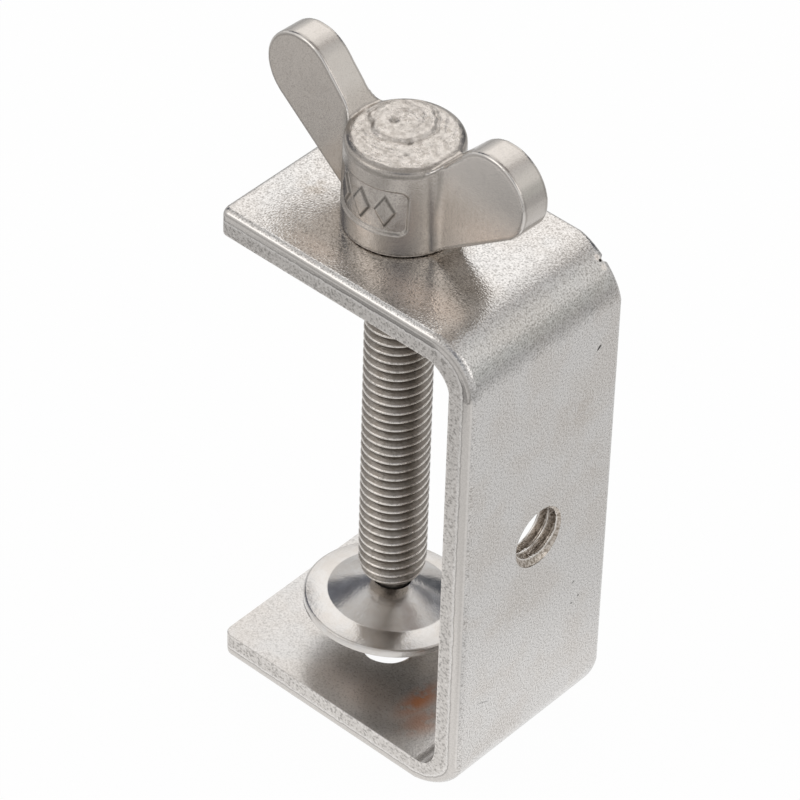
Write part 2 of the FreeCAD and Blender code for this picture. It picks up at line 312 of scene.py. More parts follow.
@dataclass(frozen=True)
class BarSkin(Finish):
    """Granular satin skin of the bar with its marks, calmer on the upper side of the lower flange, with
    painted sheen, painted reflections and painted shade in its dents.
    """

    name: str = "bar_skin"
    level: float = 0.6
    warmth: float = 0.04
    roughness: float = 0.15
    grain: float = 0.25
    grain_depth: float = 0.036
    uneven_depth: float = 0.006
    dent_depth: float = 0.08
    dark_specks: float = 0.58
    light_specks: float = 0.6
    # Painted sheen: the lighter, warmer tone of the sheen patches below.
    sheen_tone: Colour = (0.94, 0.85, 0.79, 1.0)
    rust_tone: Colour = (0.7, 0.32, 0.17, 1.0)
    # Near-black painted shade in the dents and in the nick.
    dent_shade: Colour = grey(0.025, 0.1)
    # Darker tone of the dark patches; on the upper flange it is a painted reflection of the left wing.
    dark_patch_tone: Colour = grey(0.432, 0.12)
    rust_dulls: float = 0.1
    calm_dulls: float = 0.3
    # Dents, sunk in the relief and painted near-black as painted shade; the second sits in the nick.
    dents: tuple[Mark, ...] = (
        Mark((21.6, 8.6, 56.48), (0.6, 0.5, 0.19), (40.0, 0.0, 0.0), fade=0.35),
        Mark((19.01, 11.05, 65.94), (0.3, 0.22, 0.18)),
        Mark((21.6, 7.09, 62.38), (0.6, 0.75, 0.09), (12.0, 0.0, 0.0), strength=0.45),
        Mark((21.6, 6.6, 22.48), (0.6, 0.3, 0.16), (30.0, 0.0, 0.0), strength=0.7),
        Mark((21.6, 7.67, 19.69), (0.6, 0.24, 0.18), strength=0.6),
        Mark((21.6, 6.48, 19.26), (0.6, 0.28, 0.14), (-20.0, 0.0, 0.0), strength=0.6),
        Mark((21.6, -8.48, 14.05), (0.6, 1.45, 0.09), (-22.6, 0.0, 0.0), strength=0.35),
    )
    # Darker patches on the web, and on the upper flange a painted reflection of the left wing.
    dark_patches: tuple[Mark, ...] = (
        Mark((21.6, 5.5, 49.0), (2.0, 5.0, 4.5), fade=1.0, strength=0.5),
        Mark((21.6, 9.0, 38.0), (2.0, 3.0, 9.0), fade=1.0, strength=0.4),
        Mark((21.6, -3.0, 25.0), (2.0, 6.0, 5.0), fade=1.0, strength=0.3),
        Mark((-10.3, -2.8, 67.5), (3.5, 2.8, 1.0), fade=1.0, strength=0.9),
    )
    # Painted sheen and reflection: lighter, warmer patches on the upper flange in front of the head and on
    # the lower flange, and painted glints by the nick.
    painted_sheens: tuple[Mark, ...] = (
        Mark((9.8, -8.6, 67.5), (8.5, 3.4, 1.0), fade=0.9, strength=1.0),
        Mark((-3.1, -10.2, 67.5), (6.0, 2.4, 1.0), fade=1.0, strength=0.5),
        Mark((4.5, -8.3, 3.5), (9.5, 4.2, 1.0), fade=0.9, strength=0.95),
        Mark((18.6, 10.95, 66.2), (0.6, 0.45, 0.45), strength=0.8),
        Mark((19.6, 11.0, 65.3), (0.5, 0.5, 0.6), strength=0.6),
    )
    rust: tuple[Mark, ...] = (
        Mark((9.3, -5.2, 3.5), (2.4, 5.2, 1.0), fade=1.0, strength=1.0),
        Mark((11.6, -7.6, 3.5), (3.0, 4.0, 1.0), fade=1.0, strength=0.6),
    )
    calm: Mark = Mark((0.0, 0.0, 3.5), (25.0, 25.0, 1.5), fade=0.1, strength=0.45)

    def paint(self, graph: Graph) -> None:
        """Lay the finish's colours, gloss and relief.

        Args:
            graph: the finish's empty material.
        """
        patches = graph.cloud(6.0, detail=2.0)
        grains = graph.cloud(self.grain, detail=1.0, rough=0.45)
        specks = graph.cloud(0.2, detail=1.0, rough=0.5)
        calm = graph.patch(self.calm)
        lively = graph.one_minus(calm)
        tone = graph.mottle(patches, self.shade(0.95, self.warmth * 1.3),
                            self.shade(1.04, self.warmth * 0.6))
        # Darker patches; the one on the upper flange is a painted reflection of the left wing.
        patchy_dark = graph.times(graph.patches(self.dark_patches), graph.span(graph.cloud(1.6), 0.35, 0.6))
        tone = graph.blend(patchy_dark, tone, self.dark_patch_tone)
        # Painted sheen: lighter, warmer patches that stand in for reflections and glints.
        tone = graph.blend(graph.patches(self.painted_sheens), tone, self.sheen_tone)
        dark = graph.times(graph.span(specks, 0.32, 0.48, self.dark_specks, 0.0), lively)
        tone = graph.blend(dark, tone, self.shade(0.4, 0.07))
        light = graph.times(graph.span(specks, 0.5, 0.66, 0.0, self.light_specks), lively)
        tone = graph.blend(light, tone, self.shade(1.35, 0.03))
        rusty = graph.times(graph.patches(self.rust), graph.span(graph.cloud(1.4), 0.25, 0.5))
        tone = graph.blend(rusty, tone, self.rust_tone)
        dented = graph.patches(self.dents)
        # Painted shade: the dents and the nick turn near-black.
        tone = graph.blend(dented, tone, self.dent_shade)
        roughness = graph.span(patches, 0.3, 0.7, self.roughness, self.roughness + 0.04)
        dulled = graph.math("ADD", graph.times(rusty, self.rust_dulls), graph.times(calm, self.calm_dulls))
        graph.metal(tone, graph.math("ADD", roughness, dulled))
        grainy = graph.times(grains, lively)
        uneven = graph.cloud(1.1, detail=2.0)
        graph.raise_by([(grainy, self.grain_depth), (uneven, self.uneven_depth),
                        (dented, -self.dent_depth)])


@dataclass(frozen=True)
class ShearedEdge(Finish):
    """Sheared side of the bar: a smooth band by the outer skin and torn grain below it, with a painted
    highlight along the rolled edge and a painted shadow and painted highlight where the tear begins.

    Each band is given by four depths below the skin: rise, full, fall and gone.
    """

    name: str = "sheared_edge"
    level: float = 0.55
    warmth: float = 0.05
    depth_attribute: str = "skin_depth"
    tear: tuple[float, float] = (1.42, 1.52)
    # Painted highlight on the lip where the tear begins, just below the painted shadow.
    lip_highlight: tuple[float, ...] = (1.42, 1.52, 1.56, 1.9)
    shadow: tuple[float, ...] = (1.22, 1.36, 1.4, 1.48)
    # Painted highlight: depths of a light line just below the rolled edge.
    rim: tuple[float, ...] = (0.2, 0.3, 0.38, 0.5)
    burr: tuple[float, float] = (3.05, 3.4)
    bright: Colour = grey(0.85, 0.03)

    def paint(self, graph: Graph) -> None:
        """Lay the finish's colours, gloss and relief.

        Args:
            graph: the finish's empty material.
        """
        true_depth = graph.attribute(self.depth_attribute)
        wander = graph.times(graph.math("SUBTRACT", graph.cloud(1.1, 4.0, 0.65), 0.5), 0.5)
        depth = graph.math("ADD", true_depth, wander)
        torn = graph.span(depth, *self.tear)
        grains = graph.cloud(0.34, detail=3.0, rough=0.6)
        scored = graph.cloud(0.5, 3.0, 0.6, place=graph.stretched((2.0, 1.0, 2.0)))
        smooth_tone = graph.mottle(scored, self.shade(1.0, self.warmth), self.shade(1.14, self.warmth))
        # Painted highlight along the rolled edge.
        rim = graph.times(graph.band(true_depth, *self.rim), 0.25)
        smooth_tone = graph.blend(rim, smooth_tone, grey(0.95, 0.03))
        burr = graph.span(true_depth, *self.burr)
        torn_tone = graph.blend(burr, self.shade(1.15, self.warmth), self.shade(1.35, self.warmth))
        specks = graph.times(graph.fade(grains, 0.36, 0.5), 0.6)
        torn_tone = graph.blend(specks, torn_tone, self.shade(0.35, 0.07))
        glints = graph.times(graph.span(grains, 0.55, 0.68), 0.6)
        torn_tone = graph.blend(glints, torn_tone, self.bright)
        tone = graph.blend(torn, smooth_tone, torn_tone)
        tone = graph.blend(graph.times(graph.band(depth, *self.shadow), 0.5), tone, grey(0.2, 0.06))
        # Painted highlight on the lip where the tear begins.
        tone = graph.blend(graph.times(graph.band(depth, *self.lip_highlight), 0.6), tone, self.bright)
        graph.metal(tone, graph.span(torn, 0.0, 1.0, 0.13, 0.36))
        rough_height = graph.times(grains, graph.span(torn, 0.0, 1.0, 0.08, 1.0))
        graph.raise_by([(rough_height, 0.12), (torn, -0.06)])


@dataclass(frozen=True)
class TappedWall(Finish):
    """Thread cut into the bar: painted highlights on the thin crests over painted shade in the grooves,
    patchy in tone.
    """

    name: str = "tapped_wall"
    crest_radii: tuple[float, float] = (3.27, 3.41)
    radius_attribute: str = "bore_radius"

    def paint(self, graph: Graph) -> None:
        """Lay the finish's colours, gloss and relief.

        Args:
            graph: the finish's empty material.
        """
        radius = graph.attribute(self.radius_attribute)
        # Painted highlight on the crests.
        crest = graph.fade(radius, *self.crest_radii)
        dark_mix = graph.span(graph.cloud(0.35, 4.0, 0.7), 0.38, 0.6)
        # Painted shade in the grooves, patchy in tone.
        groove_shade = graph.blend(dark_mix, grey(0.24, 0.18), grey(0.62, 0.1))
        graph.metal(graph.blend(crest, groove_shade, grey(0.8, 0.05)), 0.3)
        graph.raise_by([(graph.cloud(0.2, 3.0), 0.04)])


@dataclass(frozen=True)
class CastMetal(Finish):
    """Satin investment-cast steel of the head, polished where hands and tumbling rub it, with painted
    highlights on its edges and rims, painted shade beside the edges and round the panel and lozenges, and
    darker hollows on its top.
    """

    name: str = "cast_metal"
    level: float = 0.5
    warmth: float = 0.085
    roughness: float = 0.17
    raw_attribute: str = "raw"
    polish_highlight_attribute: str = "polish_highlight"
    crease_attribute: str = "crease"
    # Painted highlight: the lighter tone of polished edges and rims.
    polished_highlight: Colour = grey(0.74, 0.05)
    as_cast: tuple[Colour, Colour] = (grey(0.5, 0.09), grey(0.7, 0.07))
    # Near-black tone for painted shade beside the edges and round the panel and lozenges, and for the
    # darker hollows of the top.
    darkened: Colour = grey(0.07, 0.14)
    raw_dulls: float = 0.12
    polish_sharpens: float = 0.1

    def paint(self, graph: Graph) -> None:
        """Lay the finish's colours, gloss and relief.

        Args:
            graph: the finish's empty material.
        """
        raw = graph.attribute(self.raw_attribute)
        polish_highlight = graph.attribute(self.polish_highlight_attribute)
        mottle = graph.cloud(0.8, detail=4.0, rough=0.6)
        fine = graph.cloud(0.14, detail=2.0, rough=0.6)
        brushed = graph.cloud(0.35, detail=3.0, rough=0.6, place=graph.stretched((1.0, 1.0, 0.16)))
        satin = graph.mottle(brushed, self.shade(0.98, self.warmth), self.shade(1.02, self.warmth))
        satin = graph.blend(graph.span(mottle, 0.3, 0.5, 0.25, 0.0), satin, self.shade(0.7, 0.13))
        satin = graph.blend(graph.span(fine, 0.34, 0.5, 0.5, 0.0), satin, self.shade(0.55, 0.1))
        # Polish with a painted highlight: lighter where edges and rims are rubbed.
        satin = graph.blend(polish_highlight, satin, self.polished_highlight)
        raw_tone = graph.blend(graph.span(mottle, 0.35, 0.6), *self.as_cast)
        raw_tone = graph.blend(graph.span(fine, 0.32, 0.46, 0.5, 0.0), raw_tone, grey(0.22, 0.1))
        tone = graph.blend(raw, satin, raw_tone)
        # Painted shade along the edges, the panel and the lozenges; darker hollows on the top.
        dark_mix = graph.times(graph.attribute(self.crease_attribute), 0.85)
        tone = graph.blend(dark_mix, tone, self.darkened)
        worn = graph.span(graph.cloud(3.0), 0.3, 0.7, self.roughness - 0.03, self.roughness + 0.04)
        roughness = graph.math("ADD", worn, graph.times(raw, self.raw_dulls))
        graph.metal(tone, graph.math("SUBTRACT", roughness, graph.times(polish_highlight, self.polish_sharpens)))
        matt = graph.one_minus(polish_highlight)
        coarse = graph.times(mottle, graph.times(raw, 0.1))
        grain = graph.times(fine, graph.math("ADD", graph.times(raw, 0.03), 0.02))
        graph.raise_by([(coarse, 1.0), (graph.times(grain, matt), 1.0),
                        (graph.times(brushed, matt), 0.006)])


@dataclass(frozen=True)
class RolledThread(Finish):
    """Rolled thread: painted highlights on the crests, painted shade on the warm flanks."""

    name: str = "rolled_thread"
    level: float = 0.46
    flank_shade_share: float = 0.55
    height_attribute: str = "thread_height"

    def paint(self, graph: Graph) -> None:
        """Lay the finish's colours, gloss and relief.

        Args:
            graph: the finish's empty material.
        """
        height = graph.attribute(self.height_attribute)
        # Painted highlight on the crests over painted shade on the flanks.
        crest = graph.span(height, 0.82, 0.95)
        share = self.flank_shade_share
        flank_shade = graph.mottle(graph.cloud(0.9, 4.0, 0.7),
                             self.shade(share, 0.13), self.shade(share * 1.25, 0.09))
        tone = graph.blend(crest, flank_shade, self.shade(1.5, 0.06))
        grime = graph.span(graph.cloud(0.4, 4.0, 0.7), 0.36, 0.5, 0.5, 0.0)
        tone = graph.blend(grime, tone, self.shade(0.35, 0.12))
        graph.metal(tone, graph.span(crest, 0.0, 1.0, 0.34, 0.22))
        graph.raise_by([(graph.cloud(0.16, 2.0), 0.03)])


@dataclass(frozen=True)
class ShadedNeck(Finish):
    """Steel of the neck under the rod, dirty and painted near-black as painted shade."""

    name: str = "shaded_neck"

    def paint(self, graph: Graph) -> None:
        """Lay the finish's colours, gloss and relief.

        Args:
            graph: the finish's empty material.
        """
        # Near-black tones: painted shade under the rod, with dirt.
        tone = graph.mottle(graph.cloud(0.5), grey(0.1, 0.12), grey(0.2, 0.1))
        graph.metal(tone, 0.45)
        graph.raise_by([(graph.cloud(0.3), 0.04)])


@dataclass(frozen=True)
class StampedDisc(Finish):
    """Smooth bright steel of the stamped pad."""

    name: str = "stamped_disc"
    level: float = 0.64
    warmth: float = 0.045

    def paint(self, graph: Graph) -> None:
        """Lay the finish's colours, gloss and relief.

        Args:
            graph: the finish's empty material.
        """
        haze = graph.cloud(2.2, 4.0, 0.6)
        tone = graph.mottle(haze, self.shade(0.94, self.warmth * 1.3),
                            self.shade(1.03, self.warmth * 0.7))
        graph.metal(tone, graph.span(haze, 0.3, 0.7, 0.17, 0.22))
        graph.raise_by([(graph.cloud(0.3), 0.008), (graph.cloud(1.2), 0.02)])


# Mesh work


def only(items: list, kind: type) -> list:
    """Those of a list's items that are of one kind."""
    return [item for item in items if isinstance(item, kind)]


def whole(bm: BMesh) -> list:
    """All points, edges and faces of a mesh."""
    return bm.verts[:] + bm.edges[:] + bm.faces[:]


def resize(bm: BMesh, factor: float) -> None:
    """Scale a mesh about the origin."""
    bmesh.ops.scale(bm, vec=(factor, factor, factor), verts=bm.verts)


def turned_about_z(degrees: float) -> Matrix:
    """Turn about the upright axis."""
    return Matrix.Rotation(math.radians(degrees), 3, "Z")


def bell(distance: float, width: float) -> float:
    """Bell curve: 1 at no distance and 0.37 at its width."""
    return math.exp(-(distance / width) ** 2)


def midway(share: float) -> float:
    """1 halfway along an edge's slope and 0 at both its ends."""
    return 4 * share * (1 - share)


def pointing(degrees: float) -> Vector:
    """Direction in plan at a bearing from +X towards +Y."""
    return Vector((math.cos(math.radians(degrees)), math.sin(math.radians(degrees))))


def polyline(bm: BMesh, points: list[Vector], closed: bool = False) -> list:
    """Chain of edges through points.

    Args:
        bm: mesh to add to.
        points: places in millimetres.
        closed: join the last point to the first.

    Returns:
        The new points and edges.
    """
    verts = [bm.verts.new(point) for point in points]
    pairs = list(zip(verts, verts[1:]))
    if closed:
        pairs.append((verts[-1], verts[0]))
    edges = [bm.edges.new(pair) for pair in pairs]
    return verts + edges


def lathe(bm: BMesh, profile: list[tuple[float, float]], steps: int) -> None:
    """Spin a half section about Z into a closed shell.

    Args:
        bm: mesh to add to.
        profile: radius and height of each point, from axis to axis or round a ring.
        steps: number of facets round the turn.
    """
    ring = profile[0][0] > 1e-6
    points = [Vector((radius, 0, height)) for radius, height in profile]
    others = set(bm.verts)
    geometry = polyline(bm, points, closed=ring)
    bmesh.ops.spin(bm, geom=geometry, cent=(0, 0, 0), axis=(0, 0, 1), angle=FULL_TURN,
                   steps=steps, use_merge=True)
    made = [vert for vert in bm.verts if vert not in others]
    bmesh.ops.remove_doubles(bm, verts=made, dist=MERGE_DISTANCE)
    bmesh.ops.recalc_face_normals(bm, faces=bm.faces)


def arc_points(centre: tuple[float, float], radius: float, first: float, last: float,
               count: int) -> list[tuple[float, float]]:
    """Points on an arc of a half section, angles in degrees.

    Args:
        centre: the arc's centre in the half section.
        radius: its radius.
        first: angle of the first point.
        last: angle of the last point.
        count: number of steps between them.

    Returns:
        The points in order.
    """
    points = []
    for index in range(count + 1):
        angle = math.radians(first + (last - first) * index / count)
        points.append((centre[0] + radius * math.cos(angle), centre[1] + radius * math.sin(angle)))
    return points


def mesh_object(name: str, bm: BMesh, smooth: bool = True) -> Object:
    """Turn a mesh in millimetres into an object in metres at the origin.

    Args:
        name: the object's name.
        bm: the mesh, freed afterwards.
        smooth: shade smooth up to the usual angle.

    Returns:
        The new object, linked to the scene.
    """
    resize(bm, MM)
    mesh = bpy.data.meshes.new(name)
    bm.to_mesh(mesh)
    bm.free()
    piece = bpy.data.objects.new(name, mesh)
    bpy.context.scene.collection.objects.link(piece)
    if smooth:
        mesh.shade_smooth()
        mesh.set_sharp_from_angle(angle=SMOOTH_LIMIT)
    return piece


def settle_modifiers(piece: Object) -> None:
    """Apply every modifier of a piece to its mesh.

    Args:
        piece: the object to change.
    """
    graph = bpy.context.evaluated_depsgraph_get()
    mesh = bpy.data.meshes.new_from_object(piece.evaluated_get(graph))
    piece.modifiers.clear()
    old = piece.data
    piece.data = mesh
    bpy.data.meshes.remove(old)


def drop(piece: Object) -> None:
    """Delete an object and its mesh.

    Args:
        piece: the object to delete.
    """
    mesh = piece.data
    bpy.data.objects.remove(piece)
    bpy.data.meshes.remove(mesh)


def combine(piece: Object, tools: list[Object], operation: str = "DIFFERENCE") -> None:
    """Cut closed tools out of a piece, or keep what they share with it, and delete them.

    Args:
        piece: the object to change.
        tools: closed objects.
        operation: the boolean's name in Blender.
    """
    for tool in tools:
        cut = piece.modifiers.new(tool.name, "BOOLEAN")
        cut.operation = operation
        cut.solver = "EXACT"
        cut.object = tool
    bpy.context.view_layer.update()
    settle_modifiers(piece)
    for tool in tools:
        drop(tool)


def prism(name: str, outline: list[Vector], shift: Vector) -> Object:
    """Closed prism between an outline and its copy moved by a shift, both in millimetres.

    Args:
        name: the object's name.
        outline: corners of one end.
        shift: way to the other end.

    Returns:
        The new object.
    """
    bm = bmesh.new()
    face = bm.faces.new([bm.verts.new(point) for point in outline])
    made = bmesh.ops.extrude_face_region(bm, geom=[face])["geom"]
    moved = only(made, BMVert)
    bmesh.ops.translate(bm, vec=shift, verts=moved)
    bmesh.ops.recalc_face_normals(bm, faces=bm.faces)
    return mesh_object(name, bm, smooth=False)


def round_off(radius: float, distance: float) -> float:
    """How far a round corner of a radius falls back at a distance from its tangent end."""
    return radius - math.sqrt(max(0.0, radius ** 2 - (radius - distance) ** 2))


def ramp(value: float, low: float, high: float) -> float:
    """Smooth step from 0 at low to 1 at high."""
    share = min(1.0, max(0.0, (value - low) / (high - low)))
    return share * share * (3 - 2 * share)


@dataclass(frozen=True)
class Thread:
    """An ISO metric thread, sizes in millimetres."""

    diameter: float = 8.0
    pitch: float = 1.25
    rest_height: float = 0.04
    steps: int = 96
    crest_flat: float = 0.125
    root_share: float = 0.25
    crest_crown: float = 0.006
    crest_round: float = 0.03
    root_rise: tuple[float, float] = (0.07, 0.01)
    root_half: float = 0.05

    @property
    def root_radius(self) -> float:
        """Radius at the bottom of the groove."""
        return self.diameter / 2 - 0.6134 * self.pitch

    def turn_profile(self) -> list[tuple[float, float]]:
        """One pitch of the profile: height above a crest's middle and radius.

        Returns:
            Height and radius of each point.
        """
        crest = self.diameter / 2
        root = self.root_radius
        flat = self.crest_flat * self.pitch / 2
        valley = self.pitch / 2 - self.root_share * self.pitch / 4
        blunt = self.crest_round
        shelf, bottom = self.root_rise
        return [
            (0.0, crest),
            (flat, crest - self.crest_crown),
            (flat + blunt, crest - blunt),
            (valley, root + shelf),
            (self.pitch / 2 - self.root_half, root + bottom),
            (self.pitch / 2 + self.root_half, root + bottom),
            (self.pitch - valley, root + shelf),
            (self.pitch - flat - blunt, crest - blunt),
            (self.pitch - flat, crest - self.crest_crown),
        ]

    def add_to(self, bm: BMesh, low: float, high: float) -> None:
        """Add a closed threaded rod along Z, cut flat at both ends.

        Args:
            bm: empty mesh to fill.
            low: height of the lower end.
            high: height of the upper end.
        """
        first = math.floor((low - self.rest_height) / self.pitch) - 2
        last = math.ceil((high - self.rest_height) / self.pitch) + 1
        points = []
        for turn in range(first, last):
            base = self.rest_height + turn * self.pitch
            points += [Vector((radius, 0, base + height)) for height, radius in self.turn_profile()]
        geometry = polyline(bm, points)
        bmesh.ops.spin(bm, geom=geometry, cent=(0, 0, 0), axis=(0, 0, 1), angle=FULL_TURN,
                       dvec=(0, 0, self.pitch / self.steps), steps=self.steps, use_merge=False)
        bmesh.ops.remove_doubles(bm, verts=bm.verts, dist=MERGE_DISTANCE)
        for height, up in ((high, 1), (low, -1)):
            bmesh.ops.bisect_plane(bm, geom=whole(bm), plane_co=(0, 0, height),
                                   plane_no=(0, 0, up), clear_outer=True)
            edges = [edge for edge in bm.edges if edge.is_boundary
                     and all(abs(vert.co.z - height) < MERGE_DISTANCE for vert in edge.verts)]
            bmesh.ops.contextual_create(bm, geom=edges)
        bmesh.ops.recalc_face_normals(bm, faces=bm.faces)


# Sub-assemblies


class Finishable:
    """A sub-assembly that builds pieces and dresses them."""

    def dress(self, piece: Object, body: str, slot: str, finishes: list[Material],
              replaces: tuple[str, ...] = ()) -> None:
        """Give a piece its finishes and its place in the frame.

        Args:
            piece: the object.
            body: body it rides on.
            slot: the record's material slot; not used.
            finishes: its materials, in slot order.
            replaces: nodes that it stands for.
        """
        piece.data.materials.clear()
        for finish in finishes:
            piece.data.materials.append(finish)
        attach(piece, body)
        if replaces:
            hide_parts(*replaces)
        LOG.info("%s: %d faces on %s", piece.name, len(piece.data.polygons), body)


class Surface(IntEnum):
    """Finishes of the bar, in the order of its material slots."""

    SKIN = 0
    SHEARED = 1
    TAPPED = 2


@dataclass
class Bracket(Finishable):
    """The bar bent into a C, with its sheared edges and its holes, in millimetres."""

    width: float = 25.0
    thickness: float = 3.5
    height: float = 67.5
    back: float = 21.6
    top_reach: float = 15.8
    bottom_reach: float = 15.1
    bend_inner: float = 3.0
    bend_steps: int = 28
    bend_thinning: float = 0.2
    pull_in: float = 0.45
    bulge_out: float = 0.2
    rollover: float = 0.9
    rollover_steps: int = 8
    burr: float = 0.15
    corner_radius: float = 1.1
    corner_points: int = 7
    corner_step: float = 12.857
    screw_hole: float = 8.12
    web_hole_height: float = 34.0
    mouth_radius: float = 3.92
    flat_facing: float = 0.98
    side_facing: float = 0.75
    nick_tip: tuple[float, float, float] = (18.27, 12.0, 64.91)
    nick_upper: tuple[float, float, float] = (18.61, 12.0, 66.67)
    nick_lower: tuple[float, float, float] = (19.95, 12.0, 65.49)
    nick_way: tuple[float, float, float] = (0.49, -0.57, 0.66)
    nick_length: float = 2.4
    thread: Thread = field(default_factory=lambda: Thread(rest_height=0.0))

    def section(self, bm: BMesh) -> list:
        """Outline of the bar at the top flange's free end.

        Args:
            bm: empty mesh to draw in.

        Returns:
            The outline's points and edges.
        """
        half = self.width / 2
        low = self.height - self.thickness
        corners = [Vector((-self.top_reach, y, z)) for y, z in
                   ((-half, low), (half, low), (half, self.height), (-half, self.height))]
        polyline(bm, corners, closed=True)
        bm.verts.ensure_lookup_table()
        face = bm.faces.new(bm.verts[:])
        skin = [vert for vert in bm.verts if vert.co.z > low + 0.1]
        inner = [vert for vert in bm.verts if vert.co.z < low + 0.01]
        for verts, offset, segments in ((skin, self.rollover, self.rollover_steps), (inner, self.burr, 2)):
            bmesh.ops.bevel(bm, geom=verts, offset=offset, offset_type="OFFSET", segments=segments,
                            profile=0.5, affect="VERTICES", material=-1)
        bmesh.ops.delete(bm, geom=bm.faces[:], context="FACES_ONLY")
        return bm.verts[:] + bm.edges[:]

    def push(self, bm: BMesh, geometry: list, shift: Vector) -> list:
        """Extrude an open outline by a shift.

        Args:
            bm: the bar's mesh.
            geometry: the outline's points and edges.
            shift: way to go.

        Returns:
            The new outline's points and edges.
        """
        made = bmesh.ops.extrude_edge_only(bm, edges=only(geometry, BMEdge))["geom"]
        bmesh.ops.translate(bm, vec=shift, verts=only(made, BMVert))
        return [item for item in made if not isinstance(item, BMFace)]

    def bend(self, bm: BMesh, geometry: list, centre: Vector) -> list:
        """Turn an open outline a quarter turn about a bend's axis.

        Args:
            bm: the bar's mesh.
            geometry: the outline's points and edges.
            centre: a place on the bend's axis.

        Returns:
            The new outline's points and edges.
        """
        made = bmesh.ops.spin(bm, geom=geometry, cent=centre, axis=(0, 1, 0), angle=math.pi / 2,
                              steps=self.bend_steps, use_merge=False)
        return made["geom_last"]

    @property
    def bend_x(self) -> float:
        """X of both bends' axes."""
        return self.back - self.thickness - self.bend_inner

    @property
    def bend_low(self) -> float:
        """Height of the lower bend's axis."""
        return self.thickness + self.bend_inner

    def end_steps(self) -> list[float]:
        """Distances from a free end at which its rolled edge and round corners have points."""
        angles = [math.radians(self.corner_step * step) for step in range(1, self.corner_points + 1)]
        return [self.corner_radius * (1 - math.cos(angle)) for angle in angles]

    def sweep(self) -> BMesh:
        """Bend the bar: both flanges, both bends and the web, closed at the two ends.

        Returns:
            The closed mesh, its bends as thick as the bar.
        """
        bm = bmesh.new()
        outline = self.section(bm)
        first = only(outline, BMEdge)
        done = 0.0
        for distance in self.end_steps():
            outline = self.push(bm, outline, Vector((distance - done, 0, 0)))
            done = distance
        outline = self.push(bm, outline, Vector((self.bend_x + self.top_reach - done, 0, 0)))
        outline = self.bend(bm, outline, Vector((self.bend_x, 0, self.height - self.bend_low)))
        outline = self.push(bm, outline, Vector((0, 0, 2 * self.bend_low - self.height)))
        outline = self.bend(bm, outline, Vector((self.bend_x, 0, self.bend_low)))
        done = self.end_steps()[-1]
        outline = self.push(bm, outline, Vector((done - self.bend_x - self.bottom_reach, 0, 0)))
        for distance in reversed([0.0] + self.end_steps()[:-1]):
            outline = self.push(bm, outline, Vector((distance - done, 0, 0)))
            done = distance
        last = only(outline, BMEdge)
        bmesh.ops.contextual_create(bm, geom=first)
        bmesh.ops.contextual_create(bm, geom=last)
        return bm

    def skin_depth(self, point: Vector) -> float:
        """Depth of a point below the bar's outer skin, before the bends thin out.

        Args:
            point: place in millimetres.

        Returns:
            The depth, 0 on the skin.
        """
        low = self.bend_low
        high = self.height - low
        if point.x < self.bend_x:
            return min(point.z, self.height - point.z)
        if low < point.z < high:
            return self.back - point.x
        centre_z = low if point.z <= low else high
        reach = math.hypot(point.x - self.bend_x, point.z - centre_z)
        return self.bend_inner + self.thickness - reach

    def shape(self, bm: BMesh) -> None:
        """Thin and narrow the bends as bending does, and roll the skin over at the free ends.

        Args:
            bm: the bar's mesh.
        """
        low = self.bend_low
        for vert in bm.verts:
            point = vert.co
            share = self.skin_depth(point) / self.thickness
            lower = point.z < self.height / 2
            centre_z = low if lower else self.height - low
            beyond = point.z < low or point.z > self.height - low
            if point.x > self.bend_x and beyond:
                arm = Vector((point.x - self.bend_x, 0, point.z - centre_z))
                strain = math.sin(2 * math.atan2(abs(arm.z), arm.x))
                change = self.bulge_out * share - self.pull_in * (1 - share)
                point.y *= 1 + strain * change / (self.width / 2)
                point -= arm.normalized() * self.bend_thinning * strain * (1 - share)
            end = point.x + (self.bottom_reach if lower else self.top_reach)
            half = self.width / 2
            if end < self.corner_radius and abs(point.y) > half - self.rollover - 0.01:
                point.y -= math.copysign(round_off(self.corner_radius, end), point.y)
            if end < self.rollover:
                point.z += round_off(self.rollover, end) * (1 - share) * (1 if lower else -1)

    def tap(self, name: str, depth: float, turn: Matrix) -> Object:
        """Tool that cuts a threaded hole, with its mouth flared out at the outer face.

        Args:
            name: the tool's name.
            depth: how far it reaches below the mouth.
            turn: placement of a tool whose mouth lies at z = 0 and points up.

        Returns:
            The tool.
        """
        bm = bmesh.new()
        self.thread.add_to(bm, -depth, 1.0)
        for vert in bm.verts:
            radius = vert.co.xy.length
            flare = self.mouth_radius + 2 * min(0.0, vert.co.z)
            if radius > 1e-3 and radius < flare:
                vert.co.xy *= flare / radius
        bmesh.ops.transform(bm, matrix=turn, verts=bm.verts)
        bmesh.ops.recalc_face_normals(bm, faces=bm.faces)
        return mesh_object(name, bm, smooth=False)

    def bore_radius(self, point: Vector) -> float:
        """Distance of a point from the axis of the tapped hole whose wall it is on, or else 0.

        Args:
            point: place in millimetres.

        Returns:
            The distance.
        """
        if point.x > self.bend_x + self.bend_inner - 0.05:
            return math.hypot(point.y, point.z - self.web_hole_height)
        return point.xy.length if point.z < self.thickness + 0.05 else 0.0

    def nick(self) -> Object:
        """V-shaped tool for the small nick that a knock left in the upper bend's far edge.

        Returns:
            The tool.
        """
        way = Vector(self.nick_way)
        start = way * (-self.nick_length / 2)
        outline = [Vector(corner) + start for corner in (self.nick_tip, self.nick_upper, self.nick_lower)]
        return prism("nick", outline, way * self.nick_length)

    def drill(self) -> Object:
        """Tool that clears the upper flange for the screw.

        Returns:
            The tool.
        """
        bm = bmesh.new()
        bmesh.ops.create_cone(bm, cap_ends=True, segments=96, radius1=self.screw_hole / 2,
                              radius2=self.screw_hole / 2, depth=4 * self.thickness)
        bmesh.ops.translate(bm, vec=(0, 0, self.height), verts=bm.verts)
        return mesh_object("drill", bm, smooth=False)

